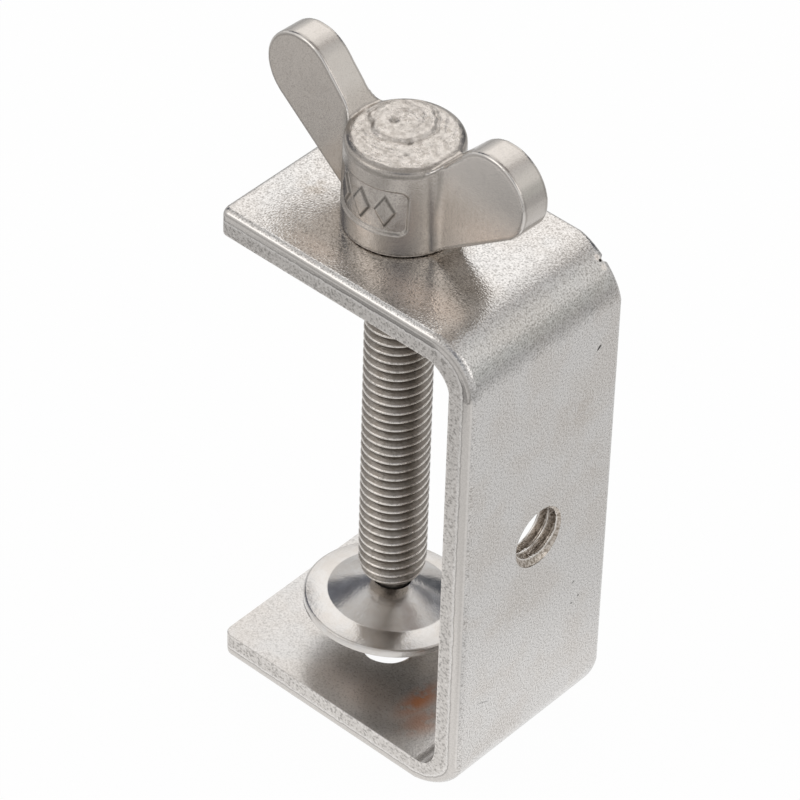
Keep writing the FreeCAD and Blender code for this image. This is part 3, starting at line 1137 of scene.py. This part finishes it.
    def build(self) -> Object:
        """Build and dress the bar.

        Returns:
            The bar.
        """
        bm = self.sweep()
        self.shape(bm)
        bmesh.ops.recalc_face_normals(bm, faces=bm.faces)
        piece = mesh_object("bent_bar", bm, smooth=False)
        into_web = Matrix.Translation((self.back, 0, self.web_hole_height))
        into_web = into_web @ Matrix.Rotation(math.pi / 2, 4, "Y")
        into_base = Matrix.Translation((0, 0, self.thickness))
        reach = self.thickness + 1.0
        taps = [self.tap("web_tap", reach, into_web), self.tap("base_tap", reach, into_base)]
        combine(piece, [self.drill(), *taps, self.nick()])
        finishes = [BarSkin().material(), ShearedEdge().material(), TappedWall().material()]
        self.dress(piece, "frame", "sheared_bar", finishes, ("bracket",))
        self.assign_faces(piece.data)
        even = piece.modifiers.new("even_shading", "WEIGHTED_NORMAL")
        even.keep_sharp = True
        return piece

    def surface(self, place: Vector, normal: Vector) -> Surface:
        """Choose the finish of one of the bar's faces.

        Args:
            place: the face's middle in millimetres.
            normal: direction it faces.

        Returns:
            The finish.
        """
        flat = max(abs(normal.x), abs(normal.z)) > self.flat_facing
        in_bore = 0 < self.bore_radius(place) < self.thread.diameter / 2 + 0.1
        if in_bore and not flat:
            return Surface.TAPPED
        on_side = abs(normal.y) > self.side_facing and abs(place.y) > self.width / 2 * 0.9
        on_end = normal.x < -self.side_facing and place.x < -self.bottom_reach * 0.97
        return Surface.SHEARED if on_side or on_end else Surface.SKIN

    def assign_faces(self, mesh: bpy.types.Mesh) -> None:
        """Keep the depths that the finishes read, and give each face its finish.

        Args:
            mesh: the bar's final mesh, in metres.
        """
        depth = mesh.attributes.new("skin_depth", "FLOAT", "POINT")
        bore = mesh.attributes.new("bore_radius", "FLOAT", "POINT")
        for index, vert in enumerate(mesh.vertices):
            depth.data[index].value = self.skin_depth(vert.co / MM)
            bore.data[index].value = self.bore_radius(vert.co / MM)
        for face in mesh.polygons:
            face.material_index = self.surface(face.center / MM, face.normal)
        mesh.shade_smooth()
        mesh.set_sharp_from_angle(angle=SMOOTH_LIMIT)


@dataclass
class WingScrew(Finishable):
    """Cast head, rolled rod, neck and riveted end, in millimetres."""

    seat: float = 67.55
    base_radius: float = 6.95
    top_radius: float = 6.75
    hub_height: float = 11.75
    hub_steps: int = 160
    top_round: float = 0.8
    base_round: float = 0.3
    bearing: float = -3.0
    wing_half: float = 1.9
    ear_reach: float = 14.4
    ear_height: float = 12.6
    ear_radius: float = 5.2
    foot: float = 0.35
    shoulder: float = 12.0
    root_round: float = 2.0
    rod_end: float = 15.45
    rod_into_head: float = 1.0
    rod_taper: float = 1.5
    rod_taper_depth: float = 0.45
    neck_radius: float = 2.1
    neck_steps: int = 72
    rivet_radius: float = 3.4
    rivet_top: float = 11.83
    rivet_thickness: float = 0.9
    rivet_round: float = 0.35
    overlap: float = 0.6
    voxel: float = 0.15
    soften_rounds: int = 8
    # Painted highlight where the edges gave way and painted shade in a band beside them; polish with a
    # painted highlight on the rims and the handled wing.
    bright_give: tuple[float, float] = (0.01, 0.07)
    shade_give: tuple[float, float] = (0.003, 0.009)
    unshaded_give: tuple[float, float] = (0.012, 0.03)
    rim_polish_highlight: float = 0.4
    rim_reach: float = 2.0
    handled_polish_highlight: float = 0.4
    handled_heights: tuple[float, float] = (74.5, 80.5)
    handled_reach: float = 1.5
    edge_shade: float = 0.4
    panel_width: float = 10.3
    panel_height: float = 5.8
    panel_middle: float = 73.55
    panel_corner: float = 0.9
    panel_depth: float = 0.35
    panel_slope: tuple[float, float] = (-0.06, 0.16)
    panel_raw: float = 0.35
    # Painted shade along the panel's sloped edge.
    panel_shade: float = 0.7
    lozenge_step: float = 3.2
    lozenge_half_width: float = 1.25
    lozenge_half_height: float = 2.0
    lozenge_rise: float = 0.3
    lozenge_slope: tuple[float, float] = (-0.17, 0.2)
    scar_ends: tuple[float, float] = (0.45, 0.95)
    gate_radius: float = 3.6
    gate_slope: tuple[float, float] = (-0.12, 0.14)
    gate_height: float = 0.17
    gate_groove: float = 0.1
    gate_offset: float = 2.3
    gate_bearing: float = 140.0
    groove_dark: float = 0.28
    bowl_depth: float = 0.22
    dimple: tuple[float, float] = (-2.5, 0.9)
    dimple_size: float = 0.5
    dimple_depth: float = 0.22
    dimple_dark: float = 0.8
    dimple_dark_size: float = 0.28
    pits: tuple[tuple[float, float, float], ...] = (
        (1.35, -0.61, 0.3), (2.54, -2.57, 0.2), (-5.6, -0.09, 0.25))
    pit_depth: float = 0.16
    pit_dark: float = 0.7
    swirl_rings: float = 3.8
    swirl_height: float = 0.075
    rough_grain: float = 1.3
    rough_height: float = 0.06
    thread: Thread = field(default_factory=Thread)

    @property
    def hub_top(self) -> float:
        """Height of the hub's top face."""
        return self.seat + self.hub_height

    def hub_profile(self) -> list[tuple[float, float]]:
        """Half section of the hub from axis to axis.

        Returns:
            Radius and height of each point.
        """
        base = (self.base_radius - self.base_round, self.seat + self.base_round)
        rim = (self.top_radius - self.top_round, self.hub_top - self.top_round)
        points = [(0.0, self.seat)]
        points += arc_points(base, self.base_round, -90, 0, 3)
        points += arc_points(rim, self.top_round, 0, 90, 8)
        points.append((0.0, self.hub_top))
        return points

    def touch(self, outside: Vector, side: int) -> Vector:
        """Where the line from an outside point touches the ear's circle.

        Args:
            outside: the point.
            side: 1 for the upper tangent and -1 for the lower.

        Returns:
            The place of contact.
        """
        across = self.ear - outside
        bearing = math.atan2(across.z, across.x) + side * math.asin(self.ear_radius / across.length)
        length = math.sqrt(across.length_squared - self.ear_radius ** 2)
        return outside + Vector((math.cos(bearing), 0, math.sin(bearing))) * length

    @property
    def ear(self) -> Vector:
        """Centre of the ear's round outline."""
        return Vector((self.ear_reach, 0, self.seat + self.ear_height))

    def wing_side(self) -> list[Vector]:
        """Side outline of a wing along +X: a round ear whose flanks run on into the hub.

        Returns:
            Corners in the plane y = 0.
        """
        foot = Vector((self.top_radius, 0, self.seat + self.foot))
        shoulder = Vector((self.top_radius, 0, self.seat + self.shoulder))
        low = self.touch(foot, -1)
        high = self.touch(shoulder, 1)
        first = math.degrees(math.atan2(low.z - self.ear.z, low.x - self.ear.x))
        last = math.degrees(math.atan2(high.z - self.ear.z, high.x - self.ear.x))
        inside = self.top_radius / 3
        points = [foot + (foot - low) * ((foot.x - inside) / (low.x - foot.x))]
        points += [Vector((x, 0, z)) for x, z in
                   arc_points((self.ear.x, self.ear.z), self.ear_radius, first, last, 48)]
        points.append(shoulder + (shoulder - high) * ((shoulder.x - inside) / (high.x - shoulder.x)))
        return points

    def wing_plan(self) -> list[Vector]:
        """Top outline of a wing along +X: straight sides that flare into the hub on round fillets.

        Returns:
            Corners at the height of the wing's foot.
        """
        flare_y = self.wing_half + self.root_round
        flare_x = math.sqrt((self.top_radius + self.root_round) ** 2 - flare_y ** 2)
        start = -math.degrees(math.atan2(flare_y, flare_x))
        side = [(self.top_radius / 3, -flare_y * self.top_radius / (self.top_radius + self.root_round))]
        side += arc_points((flare_x, -flare_y), self.root_round, 180 + start, 90, 12)
        side.append((self.ear_reach + self.ear_radius + 1.0, -self.wing_half))
        outline = [Vector((x, y, self.seat + self.foot)) for x, y in side]
        return outline + [Vector((point.x, -point.y, point.z)) for point in reversed(outline)]

    def blade(self) -> Object:
        """One wing along +X, cut from its side and top outlines.

        Returns:
            The wing.
        """
        deep = 2 * self.base_radius
        side = prism("wing_side", [point - Vector((0, deep / 2, 0)) for point in self.wing_side()],
                     Vector((0, deep, 0)))
        plan = prism("wing_plan", self.wing_plan(), Vector((0, 0, 2 * deep)))
        combine(side, [plan], "INTERSECT")
        return side

    def head(self) -> Object:
        """Fuse hub and wings into one even mesh.

        Returns:
            The head, not yet softened or carved.
        """
        bm = bmesh.new()
        blade = self.blade()
        bm.from_mesh(blade.data)
        drop(blade)
        resize(bm, 1 / MM)
        twin = bmesh.ops.duplicate(bm, geom=whole(bm))["geom"]
        left = only(twin, BMVert)
        bmesh.ops.rotate(bm, cent=(0, 0, 0), matrix=turned_about_z(180.0), verts=left)
        lathe(bm, self.hub_profile(), self.hub_steps)
        piece = mesh_object("cast_head", bm, smooth=False)
        skin = piece.modifiers.new("fuse", "REMESH")
        skin.mode = "VOXEL"
        skin.voxel_size = self.voxel * MM
        settle_modifiers(piece)
        return piece

    def soften(self, bm: BMesh, polish_highlight: BMLayerItem, crease: BMLayerItem) -> None:
        """Round the edges by relaxing the points, with a painted highlight where they gave way and painted
        shade along both sides.

        Args:
            bm: the head's mesh in millimetres.
            polish_highlight: layer for polish with a painted highlight, most on edges, rims and the handled
                wing.
            crease: layer for how dark it is painted, here painted shade beside the edges.
        """
        before = [vert.co.copy() for vert in bm.verts]
        for _ in range(self.soften_rounds):
            bmesh.ops.smooth_vert(bm, verts=bm.verts, factor=0.5,
                                  use_axis_x=True, use_axis_y=True, use_axis_z=True)
        bm.normal_update()
        for vert, old in zip(bm.verts, before):
            given = (old - vert.co).dot(vert.normal)
            out = self.base_radius
            on_rim = ramp(vert.co.xy.length, out, out + self.rim_reach)
            on_rim *= ramp(abs(vert.normal.y), 0.3, 0.1)
            handled = ramp(vert.co.x, out, out + self.handled_reach)
            handled *= ramp(vert.co.z, *self.handled_heights)
            # Painted highlight on edges, rims and the handled wing, and painted shade beside the edges.
            vert[polish_highlight] = max(ramp(given, *self.bright_give), self.rim_polish_highlight * on_rim,
                               self.handled_polish_highlight * handled)
            darkened = ramp(given, *self.shade_give) * (1 - ramp(given, *self.unshaded_give))
            vert[crease] = self.edge_shade * darkened

    def panel_share(self, point: Vector) -> float:
        """How far a point on the hub's side lies inside the panel: 0 outside and 1 on its floor.

        Args:
            point: place in millimetres.

        Returns:
            The share.
        """
        if point.y > 0 or point.xy.length > self.base_radius + 0.3:
            return 0.0
        width = self.panel_width / 2 - self.panel_corner
        height = self.panel_height / 2 - self.panel_corner
        across = abs(point.x) - width
        along = abs(point.z - self.panel_middle) - height
        outside = math.hypot(max(across, 0.0), max(along, 0.0)) + min(max(across, along), 0.0)
        return ramp(self.panel_corner - outside, *self.panel_slope)

    def lozenge_share(self, point: Vector) -> float:
        """How far a point lies inside one of the panel's raised lozenges.

        Args:
            point: place in millimetres.

        Returns:
            The share, 1 on a lozenge's flat top.
        """
        arc = math.atan2(point.x, -point.y) * self.base_radius
        best = 0.0
        for index in (-1, 0, 1):
            across = abs(arc - index * self.lozenge_step) / self.lozenge_half_width
            along = abs(point.z - self.panel_middle) / self.lozenge_half_height
            best = max(best, ramp(1 - across - along, *self.lozenge_slope))
        return best

    def gate_place(self, point: Vector) -> tuple[Vector, float]:
        """Where a point lies from the gate's middle, and how far by the gate's ragged outline."""
        away = point.xy - pointing(self.gate_bearing) * self.gate_offset
        return away, away.length + noise.noise(Vector((away.x, away.y, 3.0)) * 0.9) * 0.35

    def scar_height(self, point: Vector) -> float:
        """Relief of the hub's top: the ground-off gate with its ring, a dimple and small pits.

        Args:
            point: place in millimetres.

        Returns:
            The height above the plain top.
        """
        away, reach = self.gate_place(point)
        relief = ramp(self.gate_radius - reach, *self.gate_slope) * self.gate_height
        relief -= self.gate_groove * bell(reach - self.gate_radius - 0.2, 0.2)
        relief -= self.bowl_depth * ramp(self.gate_radius - 0.5 - reach, 0.0, 2.2)
        relief -= self.dimple_depth * bell((point.xy - Vector(self.dimple)).length, self.dimple_size)
        for x, y, size in self.pits:
            relief -= self.pit_depth * bell((point.xy - Vector((x, y))).length, size)
        swirl = noise.noise(Vector((reach * self.swirl_rings, math.atan2(away.y, away.x) * 0.8, 1.0)))
        rough = noise.noise(point * self.rough_grain)
        return relief + swirl * self.swirl_height + rough * self.rough_height

    def scar_crease(self, point: Vector) -> float:
        """How dark the gate's groove, the dimple and the pits of the hub's top are painted.

        Args:
            point: place in millimetres.

        Returns:
            The darkness, 0 where it is not darkened.
        """
        away, reach = self.gate_place(point)
        patchy = ramp(noise.noise(Vector((away.x, away.y, 8.0)) * 0.7), -0.5, 0.3)
        dark_mix = self.groove_dark * bell(reach - self.gate_radius - 0.15, 0.16) * patchy
        away_from_dimple = (point.xy - Vector(self.dimple)).length
        dark_mix = max(dark_mix, self.dimple_dark * bell(away_from_dimple, self.dimple_dark_size))
        for x, y, size in self.pits:
            dark_mix = max(dark_mix, self.pit_dark * bell((point.xy - Vector((x, y))).length, size))
        return dark_mix

    def carve_head(self, bm: BMesh, raw: BMLayerItem, crease: BMLayerItem) -> None:
        """Press the panel into the hub's side, and give its top the cast relief.

        Args:
            bm: the head's mesh in millimetres.
            raw: layer for how rough as cast it is.
            crease: layer for how dark it is painted: painted shade round the panel and lozenges, darker
                hollows on the top.
        """
        for vert in bm.verts:
            point = vert.co.copy()
            radius = point.xy.length
            panel = self.panel_share(point)
            if panel > 0:
                raised = self.lozenge_share(point)
                floor = radius - (self.panel_depth - raised * self.lozenge_rise) * panel
                vert.co.xy *= floor / radius
                vert[raw] = self.panel_raw * panel * (1 - raised)
                # Painted shade along the panel's sloped edge and round the lozenges.
                vert[crease] = max(midway(panel) * self.panel_shade, midway(raised) * panel)
            if abs(point.z - self.hub_top) < 0.3 and radius < self.top_radius:
                share = ramp(self.top_radius - radius, *self.scar_ends)
                vert.co.z += self.scar_height(point) * share
                vert[raw] = share
                vert[crease] = max(vert[crease], self.scar_crease(point) * share)

    def build_head(self) -> Object:
        """Build and dress the cast head.

        Returns:
            The head.
        """
        piece = self.head()
        bm = bmesh.new()
        bm.from_mesh(piece.data)
        raw = bm.verts.layers.float.new("raw")
        polish_highlight = bm.verts.layers.float.new("polish_highlight")
        crease = bm.verts.layers.float.new("crease")
        resize(bm, 1 / MM)
        self.soften(bm, polish_highlight, crease)
        self.carve_head(bm, raw, crease)
        bmesh.ops.rotate(bm, cent=(0, 0, 0), matrix=turned_about_z(self.bearing), verts=bm.verts)
        resize(bm, MM)
        bm.to_mesh(piece.data)
        bm.free()
        piece.data.shade_smooth()
        self.dress(piece, "screw", "cast_head", [CastMetal().material()], ("wing_screw",))
        return piece

    def build_rod(self) -> Object:
        """Build and dress the threaded rod with its chamfered end.

        Returns:
            The rod.
        """
        bm = bmesh.new()
        self.thread.add_to(bm, self.rod_end, self.seat + self.rod_into_head)
        height = bm.verts.layers.float.new("thread_height")
        root = self.thread.root_radius
        full = self.thread.diameter / 2 - root
        for vert in bm.verts:
            climb = (vert.co.z - self.rod_end) / self.rod_taper
            radius = vert.co.xy.length
            vert[height] = 1.0 if vert.co.z < self.rod_end + 0.01 else max(0.0, (radius - root) / full)
            if radius > root and climb < 1:
                kept = 1 - self.rod_taper_depth * (1 - climb) / full
                vert.co.xy *= (root + (radius - root) * kept) / radius
        piece = mesh_object("threaded_rod", bm)
        self.dress(piece, "screw", "cast_head", [RolledThread().material()])
        return piece

    def build_neck(self) -> Object:
        """Build and dress the neck and the end riveted over under the pad.

        Returns:
            The neck.
        """
        bm = bmesh.new()
        neck = self.neck_radius
        rivet = self.rivet_radius
        top = self.rivet_top
        tip = top - self.rivet_thickness
        inside = self.rod_end + self.overlap
        edge = self.rivet_round
        profile = [(0.0, inside), (neck, inside), (neck, top), (rivet, top)]
        profile += arc_points((rivet - edge, tip + edge), edge, 0, -90, 5)
        profile.append((0.0, tip))
        lathe(bm, profile, self.neck_steps)
        piece = mesh_object("riveted_neck", bm)
        self.dress(piece, "screw", "cast_head", [ShadedNeck().material()])
        return piece

    def build(self) -> None:
        """Build the head, the rod and the neck."""
        self.build_head()
        self.build_rod()
        self.build_neck()


@dataclass
class PressurePad(Finishable):
    """The stamped disc on the neck, in millimetres."""

    radius: float = 10.1
    thickness: float = 1.0
    rim_height: float = 9.85
    rim_insets: tuple[float, ...] = (0.22, 0.3, 0.6)
    band_rise: float = 0.7
    crease_radius: float = 7.4
    dome_rise: float = 2.15
    dome_bulge: float = 0.06
    dome_steps: int = 10
    crease_half: float = 0.14
    crease_lift: float = 0.03
    hole_radius: float = 2.35
    tilt: float = 5.7
    tilt_bearing: float = 85.0
    steps: int = 192

    def skin(self, base: float) -> list[tuple[float, float]]:
        """Half section of one face of the disc, from the rim to the hole.

        Args:
            base: height of the face's rim.

        Returns:
            Radius and height of each point.
        """
        crease_z = base + self.band_rise
        slope = self.band_rise / (self.radius - self.crease_radius)
        points = [(self.radius - inset, base + slope * inset) for inset in self.rim_insets]
        lift = self.crease_lift
        foot = self.crease_radius - self.crease_half
        points.append((self.crease_radius + 0.12, crease_z - 0.035))
        points += [(self.crease_radius, crease_z - lift), (foot, crease_z + lift)]
        for index in range(1, self.dome_steps + 1):
            share = index / self.dome_steps
            radius = foot + (self.hole_radius - foot) * share
            bulge = self.dome_bulge * math.sin(math.pi * share)
            points.append((radius, crease_z + lift + (self.dome_rise - lift) * share + bulge))
        return points

    def build(self) -> Object:
        """Build and dress the pad, leaning as it hangs.

        Returns:
            The pad.
        """
        low = self.skin(0.0)
        high = self.skin(self.thickness)
        rim = [(self.radius - 0.08, 0.04), (self.radius, 0.12), (self.radius, self.thickness - 0.2),
               (self.radius - 0.03, self.thickness - 0.09), (self.radius - 0.12, self.thickness - 0.01)]
        profile = list(reversed(low)) + rim + high
        bm = bmesh.new()
        lathe(bm, profile, self.steps)
        bmesh.ops.translate(bm, vec=(0, 0, self.rim_height), verts=bm.verts)
        pivot = Vector((0, 0, self.rim_height + self.band_rise + self.dome_rise + self.thickness / 2))
        lean = Matrix.Rotation(math.radians(-self.tilt), 3, pointing(self.tilt_bearing - 90).to_3d())
        bmesh.ops.rotate(bm, cent=pivot, matrix=lean, verts=bm.verts)
        piece = mesh_object("swivel_pad", bm)
        self.dress(piece, "pad", "stamped_disc", [StampedDisc().material()], ("pressure_pad",))
        return piece


# Studio


@dataclass(frozen=True)
class Softbox:
    """A soft rectangular lamp aimed at the object, in metres and watts."""

    name: str
    place: tuple[float, float, float]
    size: float
    power: float

    def build(self, aim: Vector) -> None:
        """Hang the lamp.

        Args:
            aim: the place it is turned to.
        """
        light = bpy.data.lights.new(self.name, "AREA")
        light.size = self.size
        light.energy = self.power
        lamp = bpy.data.objects.new(self.name, light)
        lamp.location = self.place
        lamp.rotation_euler = (aim - Vector(self.place)).to_track_quat("-Z", "Y").to_euler()
        bpy.context.scene.collection.objects.link(lamp)


@dataclass(frozen=True)
class Card:
    """A soft-edged bright or dark area of the studio round the object, by direction in degrees."""

    azimuth: float
    elevation: float
    reach: float
    softness: float
    colour: Colour

    @property
    def direction(self) -> Vector:
        """Direction of the card's middle; azimuth runs from +X towards +Y.

        Returns:
            The direction.
        """
        elevation = math.radians(self.elevation)
        flat = pointing(self.azimuth) * math.cos(elevation)
        return Vector((flat.x, flat.y, math.sin(elevation)))

    def add_to(self, nodes: Nodes, looking: NodeSocket, under: object) -> NodeSocket:
        """Lay the card over the colours already there.

        Args:
            nodes: the world's nodes.
            looking: direction looked in.
            under: colour or socket beneath the card.

        Returns:
            The combined colour.
        """
        near = nodes.measure("DOT_PRODUCT", looking, self.direction)
        outer = math.cos(math.radians(self.reach + self.softness))
        inner = math.cos(math.radians(max(0.0, self.reach - self.softness)))
        return nodes.blend(nodes.span(near, outer, inner), under, self.colour)


@dataclass
class Studio:
    """White sweep, soft light and the camera that the object is seen through."""

    plain_colour: Colour = (0.74, 0.74, 0.74, 1.0)
    cards: tuple[Card, ...] = (
        Card(75.0, 90.0, 22.0, 10.0, (0.58, 0.57, 0.56, 1.0)),
        Card(36.0, 2.0, 18.0, 10.0, (0.61, 0.62, 0.61, 1.0)),
        Card(43.0, 30.0, 12.0, 8.0, (0.86, 0.86, 0.85, 1.0)),
        Card(80.0, 44.0, 7.0, 5.0, (0.5, 0.5, 0.51, 1.0)),
        Card(86.0, 57.0, 9.0, 6.0, (0.9, 0.89, 0.88, 1.0)),
        Card(124.0, 38.0, 29.0, 4.0, (1.13, 1.12, 1.11, 1.0)),
        Card(106.0, 31.0, 6.0, 3.0, (1.5, 1.47, 1.44, 1.0)),
        Card(69.0, 64.0, 7.0, 4.0, (0.38, 0.35, 0.34, 1.0)),
        Card(85.0, 31.0, 8.5, 4.0, (0.2, 0.21, 0.24, 1.0)),
        Card(97.0, 11.0, 12.0, 3.0, (0.07, 0.08, 0.1, 1.0)),
        Card(168.0, 33.0, 16.0, 4.0, (0.14, 0.15, 0.18, 1.0)),
        Card(114.0, 67.0, 8.0, 3.0, (0.38, 0.37, 0.37, 1.0)),
        Card(-52.0, 41.0, 15.0, 7.0, (0.35, 0.36, 0.39, 1.0)),
        Card(-128.0, 40.0, 22.0, 8.0, (0.95, 0.935, 0.92, 1.0)),
        Card(8.0, 38.0, 16.0, 8.0, (1.1, 1.08, 1.06, 1.0)),
    )
    aim: Vector = field(default_factory=lambda: Vector((0.0, 0.0, 0.04)))
    softboxes: tuple[Softbox, ...] = (
        Softbox("back_softbox", (-0.45, 0.5, 0.6), 0.5, 0.15),
        Softbox("front_softbox", (-0.3, -0.6, 0.5), 0.4, 0.3),
        Softbox("side_softbox", (0.7, 0.1, 0.45), 0.35, 0.2),
    )
    floor_size: float = 6.0
    floor_gap: float = 0.02
    floor_colour: Colour = (0.95, 0.95, 0.95, 1.0)
    floor_share: float = 0.97
    contact: tuple[float, float, float] = (0.028, 0.048, 0.8)
    fading: tuple[float, float, float] = (0.07, 0.3, 0.66)
    dimming: tuple[float, float, float] = (0.058, 0.077, 0.43)
    beyond: tuple[float, float] = (0.082, 0.098)
    dim_direction: tuple[float, float, float] = (-0.656, -0.755, 0.0)
    camera_place: tuple[float, float, float] = (0.2795, -0.32033, 0.41646)
    camera_azimuth: float = 41.0646
    camera_elevation: float = 41.4423
    camera_roll: float = 1.8073
    camera_lens: float = 226.62
    camera_sensor: float = 36.0

    def floor(self) -> None:
        """White floor that mirrors as white and keeps a faint shadow."""
        bm = bmesh.new()
        bmesh.ops.create_grid(bm, x_segments=1, y_segments=1, size=self.floor_size / 2 / MM)
        bmesh.ops.translate(bm, vec=(0, 0, -self.floor_gap), verts=bm.verts)
        floor = mesh_object("floor", bm, smooth=False)
        material = bpy.data.materials.new("floor_white")
        nodes = Nodes(material)
        matt = nodes.joined("ShaderNodeBsdfDiffuse", {"Color": self.floor_colour})
        glow = nodes.joined("ShaderNodeEmission", {"Strength": self.floor_glow(nodes)})
        nodes.end_with(nodes.mixed(self.seen_directly(nodes), matt, glow))
        floor.data.materials.append(material)

    def floor_glow(self, nodes: Nodes) -> NodeSocket:
        """White to the eye, and to a mirror white near the object and dimmer away from it.

        Args:
            nodes: the nodes to add to.

        Returns:
            Strength of the floor's white.
        """
        place = nodes.add("ShaderNodeNewGeometry").outputs["Position"]
        away = nodes.measure("LENGTH", place)
        ahead = nodes.measure("DOT_PRODUCT", place, self.dim_direction)
        again = nodes.span(ahead, *self.beyond, step="LINEAR")
        dimmed = nodes.math("MAXIMUM", nodes.fade(ahead, *self.dimming), again)
        faded = nodes.times(nodes.fade(away, *self.fading), nodes.fade(away, *self.contact))
        glow = nodes.times(dimmed, faded)
        to_eye = nodes.add("ShaderNodeLightPath").outputs["Is Camera Ray"]
        return nodes.math("MAXIMUM", to_eye, glow)

    def seen_directly(self, nodes: Nodes) -> NodeSocket:
        """Share of white for what the eye, a mirror or glass sees, and none for light on the object.

        Args:
            nodes: the nodes to add to.

        Returns:
            The share's socket.
        """
        path = nodes.add("ShaderNodeLightPath").outputs
        seen = nodes.math("MAXIMUM", path["Is Camera Ray"], path["Is Glossy Ray"])
        seen = nodes.math("MAXIMUM", seen, path["Is Transmission Ray"])
        return nodes.times(seen, self.floor_share)

    def sky(self) -> None:
        """White where it is seen, and a studio of bright and dark cards where metal mirrors it."""
        world = bpy.data.worlds.new("studio")
        bpy.context.scene.world = world
        nodes = Nodes(world)
        looking = nodes.add("ShaderNodeTexCoord").outputs["Generated"]
        colour: object = self.plain_colour
        for card in self.cards:
            colour = card.add_to(nodes, looking, colour)
        mirrored = nodes.joined("ShaderNodeBackground", {"Color": colour})
        seen = nodes.joined("ShaderNodeBackground", {"Color": (1.0, 1.0, 1.0, 1.0)})
        to_eye = nodes.add("ShaderNodeLightPath").outputs["Is Camera Ray"]
        nodes.end_with(nodes.mixed(to_eye, mirrored, seen), "ShaderNodeOutputWorld")

    def camera(self) -> None:
        """Camera at the photograph's viewing angle."""
        azimuth, elevation, roll = [math.radians(angle) for angle in
                                    (self.camera_azimuth, self.camera_elevation, self.camera_roll)]
        back = Vector((math.sin(azimuth) * math.cos(elevation), -math.cos(azimuth) * math.cos(elevation),
                       math.sin(elevation)))
        level_right = Vector((math.cos(azimuth), math.sin(azimuth), 0))
        level_up = back.cross(level_right)
        right = level_right * math.cos(roll) + level_up * math.sin(roll)
        up = level_up * math.cos(roll) - level_right * math.sin(roll)
        data = bpy.data.cameras.new("camera")
        data.sensor_width = self.camera_sensor
        data.lens = self.camera_lens
        data.clip_start = 0.01
        camera = bpy.data.objects.new("camera", data)
        turn = Matrix((right, up, back)).transposed().to_4x4()
        camera.matrix_world = Matrix.Translation(self.camera_place) @ turn
        bpy.context.scene.collection.objects.link(camera)
        bpy.context.scene.camera = camera

    def build(self) -> None:
        """Set up the floor, the light and the camera."""
        self.floor()
        self.sky()
        for softbox in self.softboxes:
            softbox.build(self.aim)
        self.camera()
        bpy.context.scene.view_settings.view_transform = "Standard"


def main() -> None:
    """Build every sub-assembly and the studio."""
    logging.basicConfig(level=logging.INFO, format="%(name)s %(message)s")
    Bracket().build()
    WingScrew().build()
    PressurePad().build()
    Studio().build()


if __name__ == "__main__":
    main()
